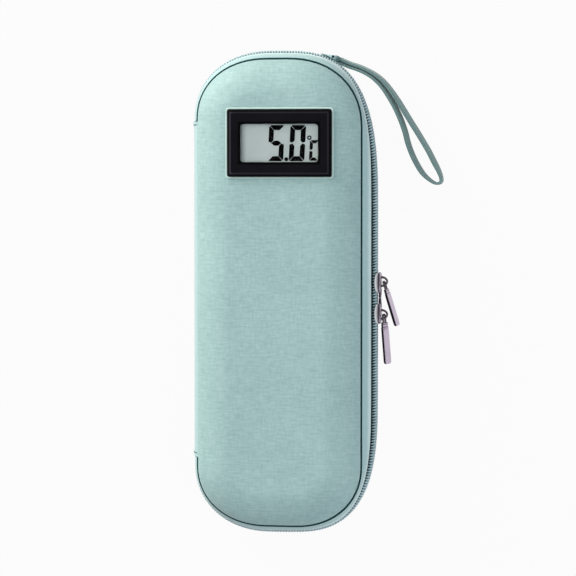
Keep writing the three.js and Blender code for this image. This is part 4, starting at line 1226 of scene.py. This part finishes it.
for side, half, body in halves:
    buildLining(side, half, body)
print("linings made")


# pen elastics

elasticForm = {"loop": 18.0, "height": 15.5, "foot": 3.6, "thickness": 1.2, "width": 18.0, "base": 8.6,
               "upper": 36.0, "lower": -44.0, "flare": 0.25, "footRise": 0.4, "archSteps": 14,
               "widthSteps": 12, "puff": 0.25, "edgeThin": 0.12, "puffAbove": 8.0, "sharp": 60.0,
               "stitches": 8, "stitchStart": -7.6, "stitchPitch": 2.05, "stitchRadius": 0.16,
               "stitchLift": 0.06,
               "stitchLine": [(0.0, -0.1), (0.3, 0.08), (1.1, 0.08), (1.4, -0.1)]}   # along and up


def elasticSide(grow, foot):
    f = elasticForm
    pitch, radius, spring = f["loop"] + f["foot"], f["loop"] / 2 + grow, f["height"] - f["loop"] / 2
    turns = [math.pi * (1 - step / f["archSteps"]) for step in range(f["archSteps"] + 1)]
    arch = [(radius * math.cos(turn), spring + radius * math.sin(turn)) for turn in turns]
    leg = [(radius, spring * 0.5), (radius, foot + f["footRise"]), (radius + f["flare"], foot)]
    hoop = [(-x, z) for x, z in leg[::-1]] + arch + leg
    reach = (2 * pitch + f["foot"]) / 2
    line = [(k * pitch + x, z) for k in (-0.5, 0.5) for x, z in hoop]
    return [(-reach, foot)] + line + [(reach, foot)]


def buildElastic(half):
    f, centreY = elasticForm, elasticForm[half]
    outer, inner = elasticSide(f["thickness"], f["thickness"]), elasticSide(0.0, 0.0)
    section = outer + inner[::-1]
    walked = lengthsAlong([(x, z, 0) for x, z in outer])
    rings, uvs, steps = [], [], f["widthSteps"]
    for step in range(steps + 1):
        share = step / steps
        y = centreY + f["width"] * (share - 0.5)
        thin = f["edgeThin"] if step in (0, steps) else 0.0
        puff = f["puff"] * math.sin(math.pi * share) - thin
        rings.append([(x, y, f["base"] + z + (puff if z > f["puffAbove"] else 0)) for x, z in section])
        uvs.append([(y, far) for far in walked + walked[::-1]])
    part, count = loft(rings, uvs, "open"), len(section)
    for start, way in ((0, -1), (steps * count, 1)):   # side faces, from the outer line to the inner
        for i in range(count // 2 - 1):
            face = (start + i, start + i + 1, start + count - 2 - i, start + count - 1 - i)
            part["faces"].append(face[::way])
    makePiece(half + "PenElastic", [part], "elasticWeave", "case", [half + "_pen_elastic"],
              f["sharp"])
    pitch, top = f["loop"] + f["foot"], f["base"] + f["thickness"] + f["stitchLift"]
    stitches = []
    for x in (-pitch, 0.0, pitch):
        for k in range(f["stitches"]):
            y = centreY + f["stitchStart"] + k * f["stitchPitch"]
            line = [(x, y + far, top + up) for far, up in f["stitchLine"]]
            stitches.append(tube(line, f["stitchRadius"], sides=6))
    makePiece(half + "PenElasticStitches", stitches, "paleThread", "case")


for half in ("upper", "lower"):
    buildElastic(half)
print("pen elastics sewn")


# gel pack, net pocket and hem

gelForm = {"width": 44.0, "length": 100.0, "y": -30.0, "low": 27.5, "high": 33.9, "columns": 34, "rows": 72,
           "weldU": 0.93, "weldV": 0.97, "weldHalf": 0.22, "pinch": 0.012,
           "powerU": 3.2, "powerV": 6, "crown": 0.93, "sharp": 70.0,
           # ripples as (turns across, turns along, shift, height)
           "ripples": [(3.1, 6.5, 0.3, 0.1), (8, 15, 2.1, 0.05)]}


def gelSwell(u, v):
    f = gelForm
    if abs(u) >= f["weldU"] or abs(v) >= f["weldV"]:
        return 0.0
    u, v = u / f["weldU"], v / f["weldV"]
    crown = max(1 - abs(u) ** f["powerU"], 0) ** 0.5 * max(1 - abs(v) ** f["powerV"], 0) ** 0.5
    ripple = sum(noise.noise(Vector((u * across, v * along, shift))) * height
                 for across, along, shift, height in f["ripples"])
    return max(crown * (f["crown"] + ripple), 0.0)


def buildGelPack():
    f = gelForm
    columns, rows = f["columns"], f["rows"]
    middle, half = (f["low"] + f["high"]) / 2, (f["high"] - f["low"]) / 2
    points, faces = [], []
    for side in (1, -1):
        for row in range(rows + 1):
            for column in range(columns + 1):
                u, v = 2 * column / columns - 1, 2 * row / rows - 1
                pinch = 1 - f["pinch"] * (1 - abs(v)) * abs(u)
                height = max(f["weldHalf"], half * gelSwell(u, v))
                points.append((u * f["width"] / 2 * pinch, f["y"] + v * f["length"] / 2,
                               middle + side * height))

    def at(row, column, layer):
        return (layer * (rows + 1) + row) * (columns + 1) + column
    for layer in (0, 1):
        for row in range(rows):
            for column in range(columns):
                faces.append((at(row, column, layer), at(row, column + 1, layer),
                              at(row + 1, column + 1, layer), at(row + 1, column, layer)))
    edge = [(0, c) for c in range(columns)] + [(r, columns) for r in range(rows)]
    edge += [(rows, c) for c in range(columns, 0, -1)] + [(r, 0) for r in range(rows, 0, -1)]
    for here, there in zip(edge, edge[1:] + edge[:1]):
        faces.append((at(*here, 0), at(*there, 0), at(*there, 1), at(*here, 1)))
    piece = makePiece("gelPack", [{"points": points, "faces": faces}], "gelFilm", "lid",
                      ["gel_pack"], f["sharp"])


netForm = {"halfWidth": 22.6, "low": -80.6, "mouth": 11.0, "face": 26.9, "rim": 30.7, "riseWidth": 2.2,
           "cell": 4.6, "slope": 0.62, "shift": 14.0, "knot": 0.1, "knotPitch": 1.6, "strand": 0.22,
           "cornerIn": 9.0, "cornerCut": 2.6, "border": 0.55}


def netHeight(x, y):
    # flat under the pack, rising over the last few millimetres at the sides and the lower end
    f = netForm
    near = min(f["halfWidth"] - abs(x), y - f["low"])
    rise = max(0.0, 1 - near / f["riseWidth"])
    return f["face"] + (f["rim"] - f["face"]) * rise * rise


def buildNet():
    f = netForm
    wide, low, rim, cell = f["halfWidth"], f["low"], f["rim"], f["cell"]
    span = f["mouth"] - low
    strands = []
    for direction in (1, -1):
        for k in range(int((-wide - span) / cell) - 1, int((wide + span) / cell) + 2):
            line = []
            for far in range(int(span) + 1):
                y = low + far
                x = direction * (k * cell - (y - low) * f["slope"] + f["shift"])
                if abs(x) <= wide:
                    knot = f["knot"] * direction * math.sin(y * math.pi * 2 / (cell * f["knotPitch"]))
                    line.append((x, y, netHeight(x, y) + knot))
            if len(line) > 3:
                strands.append(tube(line[::2] + ([] if len(line) % 2 else line[-1:]), f["strand"], sides=5))
    corner, cut = f["cornerIn"], f["cornerCut"]
    right = [(wide - corner, low, rim), (wide - cut, low + cut, rim), (wide, low + corner, rim),
             (wide, f["mouth"], rim)]
    border = [(-x, y, z) for x, y, z in right[::-1]] + right
    strands.append(tube(smoothLine(border, 8), f["border"]))
    makePiece("netPocket", strands, "netCord", "lid", ["net_pocket"])


hemForm = {"steps": 46, "gather": 0.09, "gatherTurn": 2.1, "sway": 0.6, "insetY": 0.12, "insetZ": 0.14,
           "round": 3.5}


def buildHem():
    f = hemForm
    low, high = boxOf("pocket_hem")
    middleY, middleZ = (low.y + high.y) / 2, (low.z + high.z) / 2
    halfY, halfZ = (high.y - low.y) / 2 - f["insetY"], (high.z - low.z) / 2 - f["insetZ"]
    section = leaf(halfY, halfZ, f["round"], count=20)
    rings, uvs = [], []
    for step in range(f["steps"] + 1):
        x = low.x + (high.x - low.x) * step / f["steps"]
        gather = f["gather"] * math.sin(step * f["gatherTurn"])
        rings.append([(x, middleY + a + gather * f["sway"], middleZ + b + gather) for a, b in section])
        uvs.append([(x, a + b) for a, b in section])
    makePiece("pocketHem", [loft(rings, uvs)], "elasticWeave", "lid", ["pocket_hem"])


buildGelPack()
buildNet()
buildHem()
print("pocket and gel pack built")


# floor, light and background, in metres

stageForm = {"floorSize": 4.0, "floorDrop": 0.0002, "floorGlow": 0.95, "floorPaint": (0.4, 0.4, 0.4, 1),
             "ambient": 0.42, "aim": (0, 0, 0.02),
             "key": {"place": (-0.82, 0.76, 0.4), "size": 1.2, "power": 24.4, "tint": (1.0, 0.965, 0.88)},
             "fill": {"place": (0.82, -0.42, 0.7), "size": 0.9, "power": 5.7, "tint": (0.95, 0.98, 1.0)}}


def shareRays(tree, kinds, strength, first, second, output):
    # the second shader shows to these kinds of rays, the first to all others
    rays = addNode(tree, "ShaderNodeLightPath").outputs
    seen = rays[kinds[0]]
    for kind in kinds[1:]:
        seen = calc(tree, "MAXIMUM", seen, rays[kind])
    share = calc(tree, "MULTIPLY", seen, strength)
    mix = addNode(tree, "ShaderNodeMixShader", None, {0: share, 1: first.outputs[0], 2: second.outputs[0]})
    feed(tree, addNode(tree, output), Surface=mix.outputs[0])


def buildFloor(form):
    half = form["floorSize"] / 2
    mesh = bpy.data.meshes.new("studioFloor")
    corners = [(-half, -half, 0), (half, -half, 0), (half, half, 0), (-half, half, 0)]
    mesh.from_pydata(corners, [], [(0, 1, 2, 3)])
    floor = addObject("studioFloor", mesh)
    floor.location.z = -form["floorDrop"]
    material = bpy.data.materials.new("paleFloor")
    material.use_nodes = True
    tree = material.node_tree
    tree.nodes.clear()
    paint = addNode(tree, "ShaderNodeBsdfDiffuse", None, {"Color": form["floorPaint"]})
    glow = addNode(tree, "ShaderNodeEmission", None, {"Color": white, "Strength": 1.0})
    kinds = ["Is Camera Ray", "Is Glossy Ray", "Is Transmission Ray"]
    shareRays(tree, kinds, form["floorGlow"], paint, glow, "ShaderNodeOutputMaterial")
    mesh.materials.append(material)


def buildWorld(form):
    world = bpy.data.worlds.new("studioWorld")
    scene.world = world
    world.use_nodes = True
    tree = world.node_tree
    tree.nodes.clear()
    soft, clean = (addNode(tree, "ShaderNodeBackground", None, {"Color": white, "Strength": strength})
                   for strength in (form["ambient"], 1.0))
    shareRays(tree, ["Is Camera Ray", "Is Transmission Ray"], 1.0, soft, clean, "ShaderNodeOutputWorld")


def buildLamp(name, setup, aim):
    data = bpy.data.lights.new(name, "AREA")
    data.shape, data.size, data.energy, data.color = "DISK", setup["size"], setup["power"], setup["tint"]
    lamp = addObject(name, data)
    lamp.location = setup["place"]
    lamp.rotation_euler = (Vector(aim) - Vector(setup["place"])).to_track_quat("-Z", "Y").to_euler()


buildFloor(stageForm)
buildWorld(stageForm)
for lamp in ("key", "fill"):
    buildLamp(lamp + "Light", stageForm[lamp], stageForm["aim"])
scene.view_settings.view_transform = "Standard"
print("stage lit")
